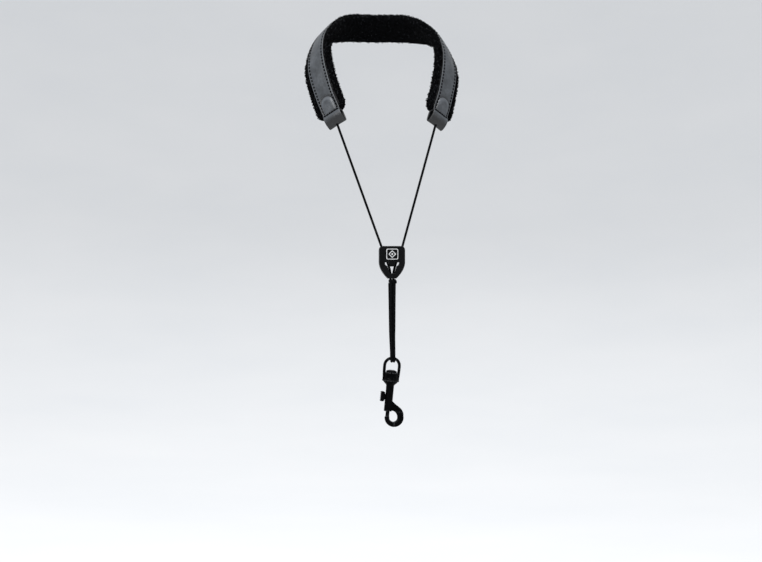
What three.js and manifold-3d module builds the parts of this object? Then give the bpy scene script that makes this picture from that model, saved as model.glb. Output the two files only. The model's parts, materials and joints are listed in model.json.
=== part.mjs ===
// A saxophone neck strap: a padded neck band with a leather face and a plush lining, two cords
// that run from the band's end tabs through a sliding adjuster and round the eye of a swivel
// snap hook. Millimetres, +Z up, the wearer faces -Y. The origin is the middle of the lining's
// inner face at the nape of the neck.
import * as THREE from "three";
import { mergeVertices } from "three/addons/utils/BufferGeometryUtils.js";
import Module from "manifold-3d";

const wasm = await Module();
wasm.setup();

// ---- Driving dimensions ----

const GAP = 0.3; // clearance between pieces that touch
const CORD_RADIUS = 1.2;

// The band's inner face, from the nape to its right end, and the way its outside faces there.
// The left half mirrors it.
const BAND_ROUTE = [
  [0, 0, 0],
  [34, -12, -2],
  [55, -41, -16],
  [63, -62, -46],
  [57, -78, -78],
  [46, -93.5, -110.5],
];
const BAND_FACING = [
  [0, 0.68, 0.73],
  [0.28, 0.62, 0.73],
  [0.45, 0.27, 0.85],
  [0.55, -0.12, 0.83],
  [0.65, -0.3, 0.69],
  [0.65, -0.5, 0.57],
];
const BAND_STEPS = 52;

// Layers of the band: heights above its inner face, and half widths.
const LINING = { floor: 5, lip: 8.5, halfWidth: 18, edgeRound: 2.5 };
const FOAM = { halfWidth: 12.2 };
const LEATHER = { thickness: 1.4, halfWidth: 11.5, endHalfWidth: 10.3, taperLength: 75 };
const WELL_HALF_WIDTH = FOAM.halfWidth + GAP; // the trough in the lining that holds the foam

// End tabs: a tongue stitched to the leather, rolled at the bottom into a tunnel for the knot.
const TAB = {
  halfWidth: 10.3,
  thickness: 1.4,
  roll: 14, // length of the tunnel below the seam
  tongue: 19.5, // length of the tongue above the seam
  tongueHalfWidth: 7.9, // also the radius of its tip
  tunnelHeight: 5,
};
const KNOT_RADIUS = 2.3;

// The plane that the cords, the adjuster and the hook hang in.
const HANG = { x: 5.5, y: -100 };

const ADJUSTER = {
  top: -233,
  height: 33.5,
  halfWidth: 13.4,
  topHalfWidth: 9.8,
  bottomHalfWidth: 4.4,
  sideTop: -4.8,
  sideBottom: -16.5,
  shell: 3.2, // thickness of each half
  windowTop: -16.8,
  windowTopHalfWidth: 7.4,
  windowShoulder: -17.9,
  windowCorner: -19.6, // where the round shoulder's two tangents meet
  windowWaist: -20.6,
  windowWaistHalfWidth: 5,
  windowBottom: -28,
  windowBottomHalfWidth: 2.6,
  tongueHalfWidth: 3.2,
  tongueBottom: -21.2,
};
const CORD_HOLE = { x: 10.9, z: -0.4 }; // where a cord enters the adjuster
const BADGE = { halfWidth: 6.6, top: -2.4, bottom: -14.4, thickness: 0.9, recess: 0.6 };
const SCREW = { x: 3.6, z: -8.4, headRadius: 1.9, headHeight: 1.1, radius: 0.9, length: 4.4 };
const TIE_KNOT = { top: -33.9, bottom: -38.8, radius: 4.4, shift: 0.8 };

// The snap hook, in its own frame: its axis is z, and the top bar of the eye is at z = 0.
const HOOK_TILT = THREE.MathUtils.degToRad(5.5); // the claw's weight tips it
const EYE = { barZ: -348.3, barRadius: 1.55, archRadius: 7.6, legEnd: -22.5 };
const CUP = { top: -14.6, bottom: -24, bore: 2.9, flange: 8.85 };
const RIVET = { head: 5.6, headTop: -11.9, stem: 2.5, bottom: -27 };
const BARREL = { radius: 4.05, top: -24.3, bottom: -54.6, shoulder: 7.4 };
const BORE = { radius: 2.05, top: -28.4 };
const BOLT = { radius: 1.75, top: -37.6, bottom: -60.1, travel: 5.8 };
const CLAW = { x: 7.2, z: -60.6, radius: 9.9, halfDepth: 2.6, noseTop: -60.4 };
const MOUTH = { x: 6.1, z: -60.7, radius: 4.6 };
const BUTTON = { outer: -9.1, inner: -4.7, halfWidth: 2.6, top: -34.6, bottom: -45 };
const NECK = { halfWidth: 1, top: -37.1, bottom: -42.8, inner: -3.4, pinRadius: 0.9 };
const SPRING = { wire: 0.22, radius: 1.45, turns: 5 };
const LOOP_BEND = 3.4; // radius of the cords' bend round the eye's bar
const STRAND = { top: 1.25, eye: 1.3 }; // from the middle of the loops to each strand
const BACK_SPREAD = 1.5; // how much further out the back strands leave the tie knot
const TOP_SHIFT = 0.4; // how far to +X of the adjuster's middle the strands leave the knot
const HOOK_SHIFT = 0.9; // the same for the eye, which hangs slightly to one side

// ---- Materials ----

const finish = (color, roughness, metalness) =>
  new THREE.MeshStandardMaterial({ color, roughness, metalness });
const leather = finish(0x43484e, 0.5, 0);
const foam = finish(0x2a2a2c, 0.95, 0);
const plush = finish(0x0d0d0f, 1, 0);
const braid = finish(0x101012, 0.7, 0);
const glossBlack = finish(0x08080a, 0.2, 0);
const badgeWhite = finish(0xd8d8d8, 0.35, 0);
const blackMetal = finish(0x0c0c0e, 0.3, 0.6);
const steel = finish(0x9a9a9c, 0.35, 1);

// ---- Solids ----

// A geometry as a manifold solid, turned so that its faces point out.
function solid(geometry) {
  const bare = new THREE.BufferGeometry();
  const source = geometry.index ? geometry.toNonIndexed() : geometry;
  bare.setAttribute("position", source.getAttribute("position").clone());
  const merged = mergeVertices(bare, 1e-4);
  const triVerts = new Uint32Array(merged.index.array);
  const vertProperties = merged.attributes.position.array;
  const made = new wasm.Manifold(new wasm.Mesh({ numProp: 3, vertProperties, triVerts }));
  if (made.volume() > 0) return made;
  for (let i = 0; i < triVerts.length; i += 3) {
    [triVerts[i + 1], triVerts[i + 2]] = [triVerts[i + 2], triVerts[i + 1]];
  }
  return new wasm.Manifold(new wasm.Mesh({ numProp: 3, vertProperties, triVerts }));
}

// A manifold solid as a geometry.
function geometryOf(made) {
  const { vertProperties, triVerts, numProp } = made.getMesh();
  const points = new Float32Array((vertProperties.length / numProp) * 3);
  for (let i = 0; i < points.length / 3; i++) {
    points.set(vertProperties.subarray(i * numProp, i * numProp + 3), i * 3);
  }
  return new THREE.BufferGeometry()
    .setAttribute("position", new THREE.BufferAttribute(points, 3))
    .setIndex(new THREE.BufferAttribute(triVerts, 1));
}

// The first geometry joined with the others.
function join(first, ...rest) {
  return geometryOf(rest.reduce((sum, g) => sum.add(solid(g)), solid(first)));
}

// The first geometry with the others cut away.
function cut(first, ...rest) {
  return geometryOf(rest.reduce((sum, g) => sum.subtract(solid(g)), solid(first)));
}

// A named mesh of a closed solid.
function piece(name, geometry, material) {
  const closed = geometryOf(solid(geometry));
  closed.computeVertexNormals();
  const mesh = new THREE.Mesh(closed, material);
  mesh.name = name;
  return mesh;
}

// A solid through a row of rings, each with one point for every point of the flat section.
// Faces that run left and faces that run right split along the same diagonal, so that two
// layers of a twisted band stay parallel.
function loft(rings, section) {
  const count = section.length;
  const points = rings.flat();
  const faces = [];
  for (let ring = 0; ring < rings.length - 1; ring++) {
    for (let i = 0; i < count; i++) {
      const a = ring * count + i;
      const b = ring * count + ((i + 1) % count);
      const runsRight = section[(i + 1) % count].x > section[i].x;
      if (runsRight) faces.push(a, b, b + count, a, b + count, a + count);
      else faces.push(a, b, a + count, b, b + count, a + count);
    }
  }
  const last = (rings.length - 1) * count;
  for (const [a, b, c] of THREE.ShapeUtils.triangulateShape(section, [])) {
    if (THREE.ShapeUtils.isClockWise(section)) faces.push(a, b, c, last + a, last + c, last + b);
    else faces.push(a, c, b, last + a, last + b, last + c);
  }
  return new THREE.BufferGeometry().setFromPoints(points).setIndex(faces).toNonIndexed();
}

// A round tube of radius r along a curve.
function tube(curve, r, steps, sides = 8) {
  const section = new THREE.Shape();
  for (let i = 0; i < sides; i++) {
    const angle = (i * 2 * Math.PI) / sides;
    const [x, y] = [r * Math.cos(angle), r * Math.sin(angle)];
    if (i === 0) section.moveTo(x, y);
    else section.lineTo(x, y);
  }
  section.closePath();
  return new THREE.ExtrudeGeometry(section, { extrudePath: curve, steps, bevelEnabled: false });
}

// A flat shape drawn in x and z, given thickness from y = front to y = back.
function plate(shape, front, back, curveSegments = 8) {
  const settings = { depth: back - front, bevelEnabled: false, curveSegments };
  return new THREE.ExtrudeGeometry(shape, settings).rotateX(Math.PI / 2).translate(0, back, 0);
}

// A turned solid about z, from a profile of [radius, z] points.
function turned(profile, segments = 24) {
  const points = profile.map(([radius, z]) => new THREE.Vector2(radius, z));
  return new THREE.LatheGeometry(points, segments).rotateX(Math.PI / 2);
}

// A rod about z between two heights.
function rod(radius, low, high, segments = 24) {
  return turned([[0, low], [radius, low], [radius, high], [0, high]], segments);
}

// A box between two corners.
function block([x0, y0, z0], [x1, y1, z1]) {
  return new THREE.BoxGeometry(x1 - x0, y1 - y0, z1 - z0).translate(
    (x0 + x1) / 2,
    (y0 + y1) / 2,
    (z0 + z1) / 2,
  );
}

// ---- The band ----

const mirrored = (rows) => [
  ...rows.slice(1).reverse().map(([x, y, z]) => new THREE.Vector3(-x, y, z)),
  ...rows.map((row) => new THREE.Vector3(...row)),
];
const bandRoute = new THREE.CatmullRomCurve3(mirrored(BAND_ROUTE), false, "centripetal");
const bandFacing = new THREE.CatmullRomCurve3(mirrored(BAND_FACING), false, "catmullrom", 0.5);
const BAND_LENGTH = bandRoute.getLength();

// The band's frame at a share u of its length from its left end: along it, out from the neck,
// and across it towards its upper edge.
function bandFrame(u) {
  const t = bandRoute.getUtoTmapping(u);
  const along = bandRoute.getTangent(t);
  const out = bandFacing.getPoint(t).addScaledVector(along, -bandFacing.getPoint(t).dot(along));
  out.normalize();
  const across = new THREE.Vector3().crossVectors(along, out);
  return { at: bandRoute.getPoint(t), along, out, across };
}

// A point of the band: across it and out from its inner face.
const onBand = ({ at, out, across }, side, height) =>
  at.clone().addScaledVector(across, side).addScaledVector(out, height);

// The same frame at a distance from one end: side is -1 for the left end and 1 for the right.
function endFrame(side, distance) {
  const share = distance / BAND_LENGTH;
  const frame = bandFrame(side < 0 ? share : 1 - share);
  return { ...frame, down: frame.along.clone().multiplyScalar(side) };
}

// A layer of the band. sectionAt(distance) gives its section at a distance from the nearer end.
// The layers share their rings, so that they stay a clearance apart where the band bends.
function bandLayer(endDistance, sectionAt) {
  const last = BAND_LENGTH - endDistance;
  const shared = Array.from({ length: BAND_STEPS }, (_, i) => (i / BAND_STEPS) * BAND_LENGTH);
  const inner = shared.filter((distance) => distance > endDistance + 1 && distance < last - 1);
  const rings = [endDistance, ...inner, last].map((distance) => {
    const frame = bandFrame(distance / BAND_LENGTH);
    const nearer = Math.min(distance, BAND_LENGTH - distance);
    return sectionAt(nearer).map(({ x, y }) => onBand(frame, x, y));
  });
  return loft(rings, sectionAt(endDistance));
}

const points2 = (rows) => rows.map(([x, y]) => new THREE.Vector2(x, y));

const slab = (halfWidth, low, high) =>
  points2([[-halfWidth, low], [halfWidth, low], [halfWidth, high], [-halfWidth, high]]);

// The plush lining: a shallow trough whose edges stand round the foam.
function liningSection() {
  const { floor, lip, halfWidth, edgeRound } = LINING;
  const right = [
    [halfWidth - edgeRound, 0],
    [halfWidth, edgeRound],
    [halfWidth, lip - edgeRound / 2],
    [halfWidth - edgeRound, lip],
    [WELL_HALF_WIDTH, lip],
    [WELL_HALF_WIDTH, floor],
  ];
  return points2([...right, ...right.map(([x, y]) => [-x, y]).reverse()]);
}

const leatherLow = LINING.lip + GAP;
const leatherHigh = leatherLow + LEATHER.thickness;

function leatherSection(distance) {
  const share = THREE.MathUtils.clamp((distance - TAB.roll) / LEATHER.taperLength, 0, 1);
  const halfWidth = THREE.MathUtils.lerp(LEATHER.endHalfWidth, LEATHER.halfWidth, share);
  return slab(halfWidth, leatherLow, leatherHigh);
}

function band() {
  const end = TAB.roll + GAP;
  const group = new THREE.Group();
  group.add(
    piece("band_leather", bandLayer(end + 1, leatherSection), leather),
    piece(
      "band_foam",
      bandLayer(end + 4, () => slab(FOAM.halfWidth, LINING.floor + GAP, LINING.lip)),
      foam,
    ),
    piece("band_fleece", bandLayer(end, liningSection), plush),
  );
  return group;
}

// ---- The end tabs ----

const tabLow = leatherHigh + GAP;
const tabHigh = tabLow + TAB.thickness;
const tunnelHigh = tabHigh - TAB.thickness;
const tunnelLow = tunnelHigh - TAB.tunnelHeight;
const cordHeight = (tunnelLow + tunnelHigh) / 2; // of the cord above the band's inner face

// A rectangle with round corners.
function roundedBox(x0, y0, x1, y1, radius, PathClass = THREE.Shape) {
  const path = new PathClass();
  path.moveTo(x0 + radius, y0);
  path.lineTo(x1 - radius, y0);
  path.absarc(x1 - radius, y0 + radius, radius, -Math.PI / 2, 0, false);
  path.lineTo(x1, y1 - radius);
  path.absarc(x1 - radius, y1 - radius, radius, 0, Math.PI / 2, false);
  path.lineTo(x0 + radius, y1);
  path.absarc(x0 + radius, y1 - radius, radius, Math.PI / 2, Math.PI, false);
  path.lineTo(x0, y0 + radius);
  path.absarc(x0 + radius, y0 + radius, radius, Math.PI, 1.5 * Math.PI, false);
  path.closePath();
  return path;
}

// The half width of the tongue at a distance below its round tip.
function tongueWidthAt(fromTip) {
  const radius = TAB.tongueHalfWidth;
  return fromTip < radius ? Math.sqrt(radius ** 2 - (radius - fromTip) ** 2) : radius;
}

// The matrix of the tunnel's frame: x down along the band, y out from the neck.
function tunnelMatrix(side) {
  const { at, down, out } = endFrame(side, TAB.roll / 2);
  const origin = at.clone().addScaledVector(down, -TAB.roll / 2);
  const third = new THREE.Vector3().crossVectors(down, out);
  return new THREE.Matrix4().makeBasis(down, out, third).setPosition(origin);
}

function tabGeometry(side) {
  const steps = [0.25, 1, 2.5, 4.5, 6.5, TAB.tongueHalfWidth, 15, TAB.tongue + 1.2];
  const rings = steps.map((fromTip) => {
    const frame = endFrame(side, TAB.roll + TAB.tongue - fromTip);
    return slab(tongueWidthAt(fromTip), tabLow, tabHigh).map(({ x, y }) => onBand(frame, x, y));
  });
  const tongue = loft(rings, slab(1, tabLow, tabHigh));

  const wall = TAB.thickness;
  const rollShape = roundedBox(0, tunnelLow - wall, TAB.roll, tabHigh, 2.6);
  rollShape.holes.push(
    roundedBox(wall, tunnelLow, TAB.roll - wall, tunnelHigh, 1.2, THREE.Path),
  );
  const roll = new THREE.ExtrudeGeometry(rollShape, {
    depth: 2 * TAB.halfWidth,
    bevelEnabled: false,
    curveSegments: 3,
  }).translate(0, 0, -TAB.halfWidth);
  const hole = new THREE.CylinderGeometry(CORD_RADIUS + GAP, CORD_RADIUS + GAP, 6, 12)
    .rotateZ(Math.PI / 2)
    .translate(TAB.roll, cordHeight, 0);
  const matrix = tunnelMatrix(side);
  roll.applyMatrix4(matrix);
  hole.applyMatrix4(matrix);
  return cut(join(tongue, roll), hole);
}

// A point on the axis of the tunnel's hole, at a distance below the seam.
const inTunnel = (side, below) =>
  new THREE.Vector3(below, cordHeight, 0).applyMatrix4(tunnelMatrix(side));

function endTab(side, label) {
  const group = new THREE.Group();
  const knot = piece(
    `stopper_knot_${label}`,
    new THREE.IcosahedronGeometry(KNOT_RADIUS, 1),
    braid,
  );
  knot.position.copy(inTunnel(side, TAB.roll / 2 + 0.8));
  group.add(piece(`end_tab_${label}`, tabGeometry(side), leather), knot);
  return group;
}

// ---- The cords ----

// One leg of the V: out of the tab and straight to the adjuster.
function legRoute(side) {
  const start = inTunnel(side, TAB.roll / 2 + 0.8 + KNOT_RADIUS + GAP);
  const exit = inTunnel(side, TAB.roll + 0.4);
  const end = new THREE.Vector3(
    HANG.x + side * CORD_HOLE.x,
    HANG.y,
    ADJUSTER.top + CORD_HOLE.z + GAP,
  );
  const points = [start, exit];
  for (const share of [0.06, 0.2, 0.4, 0.6, 0.8, 1]) {
    points.push(exit.clone().lerp(end, share));
  }
  return new THREE.CatmullRomCurve3(points, false, "centripetal");
}

// The stretch inside the adjuster, in the adjuster's frame.
function innerRoute(side) {
  const rows = [
    [CORD_HOLE.x, CORD_HOLE.z],
    [7.8, -8.5],
    [4.6, -17],
    [2.2, -24.5],
    [1.5, -29.5],
    [1.5, TIE_KNOT.top + GAP],
  ];
  const points = rows.map(([x, z]) => new THREE.Vector3(side * x, 0, z));
  return new THREE.CatmullRomCurve3(points, false, "centripetal");
}

// From the tie knot down in front of the eye's bar, under it and back up behind.
function loopRoute(side) {
  const top = ADJUSTER.top + TIE_KNOT.bottom - GAP;
  const strand = (y, spread) => [
    [STRAND.top + spread, 2 * y, top],
    [STRAND.top + spread * 0.8, 2.6 * y, top - 20],
    [STRAND.top + spread * 0.55, 3 * y, top - 50],
    [STRAND.eye, LOOP_BEND * y, EYE.barZ + 4],
  ];
  const bend = [180, 225, 270, 315, 360].map((degrees) => {
    const angle = THREE.MathUtils.degToRad(degrees);
    return [STRAND.eye, LOOP_BEND * Math.cos(angle), EYE.barZ + LOOP_BEND * Math.sin(angle)];
  });
  const rows = [...strand(-1, 0), ...bend, ...strand(1, BACK_SPREAD).reverse()];
  const middleAt = (z) =>
    HANG.x + THREE.MathUtils.mapLinear(z, top, EYE.barZ, TOP_SHIFT, HOOK_SHIFT);
  const points = rows.map(([x, y, z]) => new THREE.Vector3(middleAt(z) + side * x, HANG.y + y, z));
  return new THREE.CatmullRomCurve3(points, false, "centripetal");
}

function cords() {
  const group = new THREE.Group();
  for (const [side, label] of [[-1, "left"], [1, "right"]]) {
    group.add(
      piece(`cord_${label}`, tube(legRoute(side), CORD_RADIUS, 24), braid),
      piece(`loop_${label}`, tube(loopRoute(side), CORD_RADIUS, 68), braid),
    );
  }
  return group;
}

// ---- The adjuster ----

// The outline of the shield, with its lower sides drawn in to the bottom.
function shieldShape() {
  const a = ADJUSTER;
  const shape = new THREE.Shape();
  shape.moveTo(-a.topHalfWidth, 0);
  shape.lineTo(a.topHalfWidth, 0);
  shape.quadraticCurveTo(a.halfWidth, -0.6, a.halfWidth, a.sideTop);
  shape.lineTo(a.halfWidth, a.sideBottom);
  shape.bezierCurveTo(a.halfWidth, -22.5, 9.6, -28.5, a.bottomHalfWidth, -a.height);
  shape.lineTo(-a.bottomHalfWidth, -a.height);
  shape.bezierCurveTo(-9.6, -28.5, -a.halfWidth, -22.5, -a.halfWidth, a.sideBottom);
  shape.lineTo(-a.halfWidth, a.sideTop);
  shape.quadraticCurveTo(-a.halfWidth, -0.6, -a.topHalfWidth, 0);
  return shape;
}

// The window that the cords cross: a wide slot at the top that narrows round the cords.
function windowShape() {
  const a = ADJUSTER;
  const shape = new THREE.Shape();
  shape.moveTo(-a.windowTopHalfWidth, a.windowTop);
  shape.lineTo(a.windowTopHalfWidth, a.windowTop);
  shape.lineTo(a.windowTopHalfWidth, a.windowShoulder);
  shape.quadraticCurveTo(
    a.windowTopHalfWidth,
    a.windowCorner,
    a.windowWaistHalfWidth,
    a.windowWaist,
  );
  shape.lineTo(a.windowBottomHalfWidth, a.windowBottom);
  shape.lineTo(-a.windowBottomHalfWidth, a.windowBottom);
  shape.lineTo(-a.windowWaistHalfWidth, a.windowWaist);
  shape.quadraticCurveTo(
    -a.windowTopHalfWidth,
    a.windowCorner,
    -a.windowTopHalfWidth,
    a.windowShoulder,
  );
  shape.closePath();
  return shape;
}

// One half of the adjuster, between two values of y, with the cord channels and window cut.
function adjusterHalf(front, back) {
  const channels = [-1, 1].map((side) => {
    const route = innerRoute(side);
    const points = route.getPoints(12);
    const above = new THREE.Vector3(side * 12.2, 0, 3.5);
    const below = new THREE.Vector3(side * 1.5, 0, -40);
    const longer = new THREE.CatmullRomCurve3([above, ...points, below], false, "centripetal");
    return tube(longer, CORD_RADIUS + GAP + 0.1, 16);
  });
  const shell = plate(shieldShape(), front, back);
  return cut(shell, plate(windowShape(), front - 1, back + 1), ...channels);
}

// A rod along y, from y = front to y = back.
const crossRod = (radius, front, back, x, z) =>
  new THREE.CylinderGeometry(radius, radius, back - front, 16).translate(x, (front + back) / 2, z);

function adjusterFront() {
  const a = ADJUSTER;
  const front = -a.shell - GAP / 2;
  const back = -GAP / 2;
  const tongue = block(
    [-a.tongueHalfWidth, front, a.tongueBottom],
    [a.tongueHalfWidth, back - 1.5, a.windowTop + 1],
  );
  const recess = block(
    [-BADGE.halfWidth - GAP, front - 1, BADGE.bottom - GAP],
    [BADGE.halfWidth + GAP, front + BADGE.recess, BADGE.top + GAP],
  );
  const holes = [-1, 1].map((side) =>
    crossRod(SCREW.radius + GAP, -2, 1, side * SCREW.x, SCREW.z),
  );
  return cut(join(adjusterHalf(front, back), tongue), recess, ...holes);
}

function adjusterBack() {
  const front = GAP / 2;
  const back = ADJUSTER.shell + GAP / 2;
  const holes = [-1, 1].flatMap((side) => [
    crossRod(SCREW.radius + GAP, -1, back + 1, side * SCREW.x, SCREW.z),
    crossRod(SCREW.headRadius + GAP, back - SCREW.headHeight - GAP, back + 1, side * SCREW.x, SCREW.z),
  ]);
  return cut(adjusterHalf(front, back), ...holes);
}

// A pan-head screw whose head faces +Y.
function screwGeometry() {
  const { headRadius, headHeight, radius, length } = SCREW;
  return turned(
    [
      [0, -length],
      [radius, -length],
      [radius, -headHeight],
      [headRadius, -headHeight],
      [headRadius, -0.3],
      [headRadius - 0.5, 0],
      [0, 0],
    ],
    16,
  ).rotateX(-Math.PI / 2);
}

// The lump where the cords' ends are tied round the strands.
function tieKnotGeometry() {
  const { top, bottom, radius } = TIE_KNOT;
  const middle = (top + bottom) / 2;
  return turned(
    [
      [0, bottom],
      [radius - 1, bottom],
      [radius, middle - 0.8],
      [radius, middle + 0.8],
      [radius - 0.9, top],
      [0, top],
    ],
    20,
  ).scale(1, 0.86, 1);
}

function adjuster() {
  const group = new THREE.Group();
  group.position.set(HANG.x, HANG.y, ADJUSTER.top);
  const face = -ADJUSTER.shell - GAP / 2 + BADGE.recess - GAP;
  const badge = block(
    [-BADGE.halfWidth, face - BADGE.thickness, BADGE.bottom],
    [BADGE.halfWidth, face, BADGE.top],
  );
  const knot = piece("tie_knot", tieKnotGeometry(), braid);
  knot.position.x = TIE_KNOT.shift;
  group.add(
    piece("adjuster_front", adjusterFront(), glossBlack),
    piece("adjuster_back", adjusterBack(), glossBlack),
    piece("adjuster_badge", badge, badgeWhite),
    knot,
  );
  for (const [side, label] of [[-1, "left"], [1, "right"]]) {
    const screw = piece(`adjuster_screw_${label}`, screwGeometry(), steel);
    screw.position.set(side * SCREW.x, ADJUSTER.shell + GAP / 2 - 0.1, SCREW.z);
    const stretch = tube(innerRoute(side), CORD_RADIUS, 12);
    group.add(screw, piece(`adjuster_cord_${label}`, stretch, braid));
  }
  return group;
}

// ---- The snap hook ----

// The eye: a round bar bent into an arch, on a cup with a flange.
function eyeGeometry() {
  const { archRadius, barRadius, legEnd } = EYE;
  const centre = -archRadius;
  const path = new THREE.CurvePath();
  const corner = (x, z) => new THREE.Vector3(x, 0, z);
  const arc = [0, 30, 60, 90, 120, 150, 180].map((degrees) => {
    const angle = THREE.MathUtils.degToRad(degrees);
    return corner(archRadius * Math.cos(angle), centre + archRadius * Math.sin(angle));
  });
  const ends = [corner(archRadius, legEnd), corner(archRadius, (legEnd + centre) / 2)];
  const mirrorEnds = ends.map(({ x, z }) => corner(-x, z)).reverse();
  const arch = new THREE.CatmullRomCurve3([...ends, ...arc, ...mirrorEnds], false, "centripetal");
  const { top, bottom, bore, flange } = CUP;
  const cup = turned([
    [bore, bottom],
    [flange - 0.5, bottom],
    [flange, bottom + 0.6],
    [flange, -22.4],
    [7.1, -21],
    [6.8, top - 1.4],
    [6.2, top],
    [bore, top],
    [bore, bottom],
  ]);
  return cut(join(tube(arch, barRadius, 26, 10), cup), rod(bore, bottom - 1, top + 1));
}

// The rivet that holds the hook in the cup: a domed head and a stem.
function rivetGeometry() {
  const { head, headTop, stem, bottom } = RIVET;
  const seat = CUP.top + GAP;
  return turned([
    [0, bottom],
    [stem, bottom],
    [stem, seat],
    [head, seat],
    [head - 0.3, seat + 1.1],
    [2.6, headTop - 0.3],
    [0, headTop],
  ]);
}

// The outline of the claw: from the barrel's side round the bottom to the nose, and back
// along the mouth, with a flat where the instrument's ring bears.
function clawShape() {
  const degrees = THREE.MathUtils.degToRad;
  const shape = new THREE.Shape();
  shape.moveTo(3, -43);
  shape.lineTo(4.4, -44.4);
  shape.quadraticCurveTo(7.6, -47.6, 11.2, -50);
  shape.quadraticCurveTo(12.8, -51.1, 13.9, -53.3);
  shape.absarc(CLAW.x, CLAW.z, CLAW.radius, degrees(46), degrees(-180), true);
  shape.lineTo(-2.4, CLAW.noseTop);
  shape.lineTo(1.7, CLAW.noseTop);
  shape.absarc(MOUTH.x, MOUTH.z, MOUTH.radius, degrees(183), degrees(245), false);
  shape.absarc(MOUTH.x, MOUTH.z, MOUTH.radius, degrees(295), degrees(385), false);
  shape.lineTo(8.9, -56.1);
  shape.lineTo(4.7, -54.1);
  shape.lineTo(3, -53.5);
  shape.closePath();
  return shape;
}

function hookGeometry() {
  const { radius, top, bottom, shoulder } = BARREL;
  const barrel = turned([
    [0, bottom],
    [radius - 0.3, bottom],
    [radius, bottom + 0.4],
    [radius, top - 3],
    [shoulder - 0.6, top - 0.9],
    [shoulder, top],
    [0, top],
  ]);
  const slot = block(
    [-6, -NECK.halfWidth - GAP, NECK.bottom - GAP],
    [0, NECK.halfWidth + GAP, NECK.top + BOLT.travel + GAP],
  );
  return cut(
    join(barrel, plate(clawShape(), -CLAW.halfDepth, CLAW.halfDepth, 10)),
    rod(BORE.radius, bottom - 2, BORE.top),
    rod(RIVET.stem + GAP, RIVET.bottom - GAP, top + 1),
    slot,
  );
}

// The bolt, with a cross hole for the thumb button's pin.
function boltGeometry() {
  const { radius, top, bottom } = BOLT;
  const pinZ = (NECK.top + NECK.bottom) / 2;
  const hole = new THREE.CylinderGeometry(NECK.pinRadius + GAP, NECK.pinRadius + GAP, 3, 12)
    .rotateZ(Math.PI / 2)
    .translate(-0.9, 0, pinZ);
  const body = turned([
    [0, bottom],
    [radius - 0.3, bottom],
    [radius, bottom + 0.4],
    [radius, top],
    [0, top],
  ]);
  return cut(body, hole);
}

// The thumb button: a serrated plate, its neck in the barrel's slot, and its pin in the bolt.
function buttonGeometry() {
  const { outer, inner, halfWidth, top, bottom } = BUTTON;
  const pinZ = (NECK.top + NECK.bottom) / 2;
  const button = block([outer, -halfWidth, bottom], [inner, halfWidth, top]);
  const neck = block(
    [inner - 0.5, -NECK.halfWidth, NECK.bottom],
    [NECK.inner, NECK.halfWidth, NECK.top],
  );
  const pin = new THREE.CylinderGeometry(NECK.pinRadius, NECK.pinRadius, 4, 12)
    .rotateZ(Math.PI / 2)
    .translate(NECK.inner + 1.6, 0, pinZ);
  const grooves = [0.2, 0.4, 0.6, 0.8].map((share) => {
    const z = THREE.MathUtils.lerp(bottom, top, share);
    return block([outer - 1, -halfWidth - 1, z - 0.45], [outer + 0.7, halfWidth + 1, z + 0.45]);
  });
  return cut(join(button, neck, pin), ...grooves);
}

// The spring between the bolt and the top of its bore.
function springGeometry() {
  const { wire, radius, turns } = SPRING;
  const low = BOLT.top + wire + GAP;
  const high = BORE.top - wire - GAP;
  const stops = turns * 8;
  const points = Array.from({ length: stops + 1 }, (_, i) => {
    const angle = (i / 8) * 2 * Math.PI;
    const z = THREE.MathUtils.lerp(low, high, i / stops);
    return new THREE.Vector3(radius * Math.cos(angle), radius * Math.sin(angle), z);
  });
  return tube(new THREE.CatmullRomCurve3(points, false, "centripetal"), wire, stops, 6);
}

function snapHook() {
  const group = new THREE.Group();
  group.position.set(HANG.x + HOOK_SHIFT, HANG.y, EYE.barZ);
  group.rotation.y = HOOK_TILT;
  group.add(
    piece("swivel_eye", eyeGeometry(), blackMetal),
    piece("swivel_rivet", rivetGeometry(), blackMetal),
    piece("hook_body", hookGeometry(), blackMetal),
    piece("bolt", boltGeometry(), steel),
    piece("thumb_button", buttonGeometry(), blackMetal),
    piece("bolt_spring", springGeometry(), steel),
  );
  return group;
}

const strap = new THREE.Group();
strap.add(band(), endTab(-1, "left"), endTab(1, "right"), cords(), adjuster(), snapHook());

export default strap;
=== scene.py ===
"""The looks of a saxophone neck strap: a leather and plush neck band, braided cords, a plastic
adjuster and a swivel snap hook. Lengths are in millimetres, in the frame of the CAD part, until
a mesh is made: the wearer faces -Y, and the origin is at the nape of the neck."""

import json
import math
import random

import bmesh
import bpy
import numpy as np
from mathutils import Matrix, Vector, noise
from mathutils.geometry import tessellate_polygon

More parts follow.
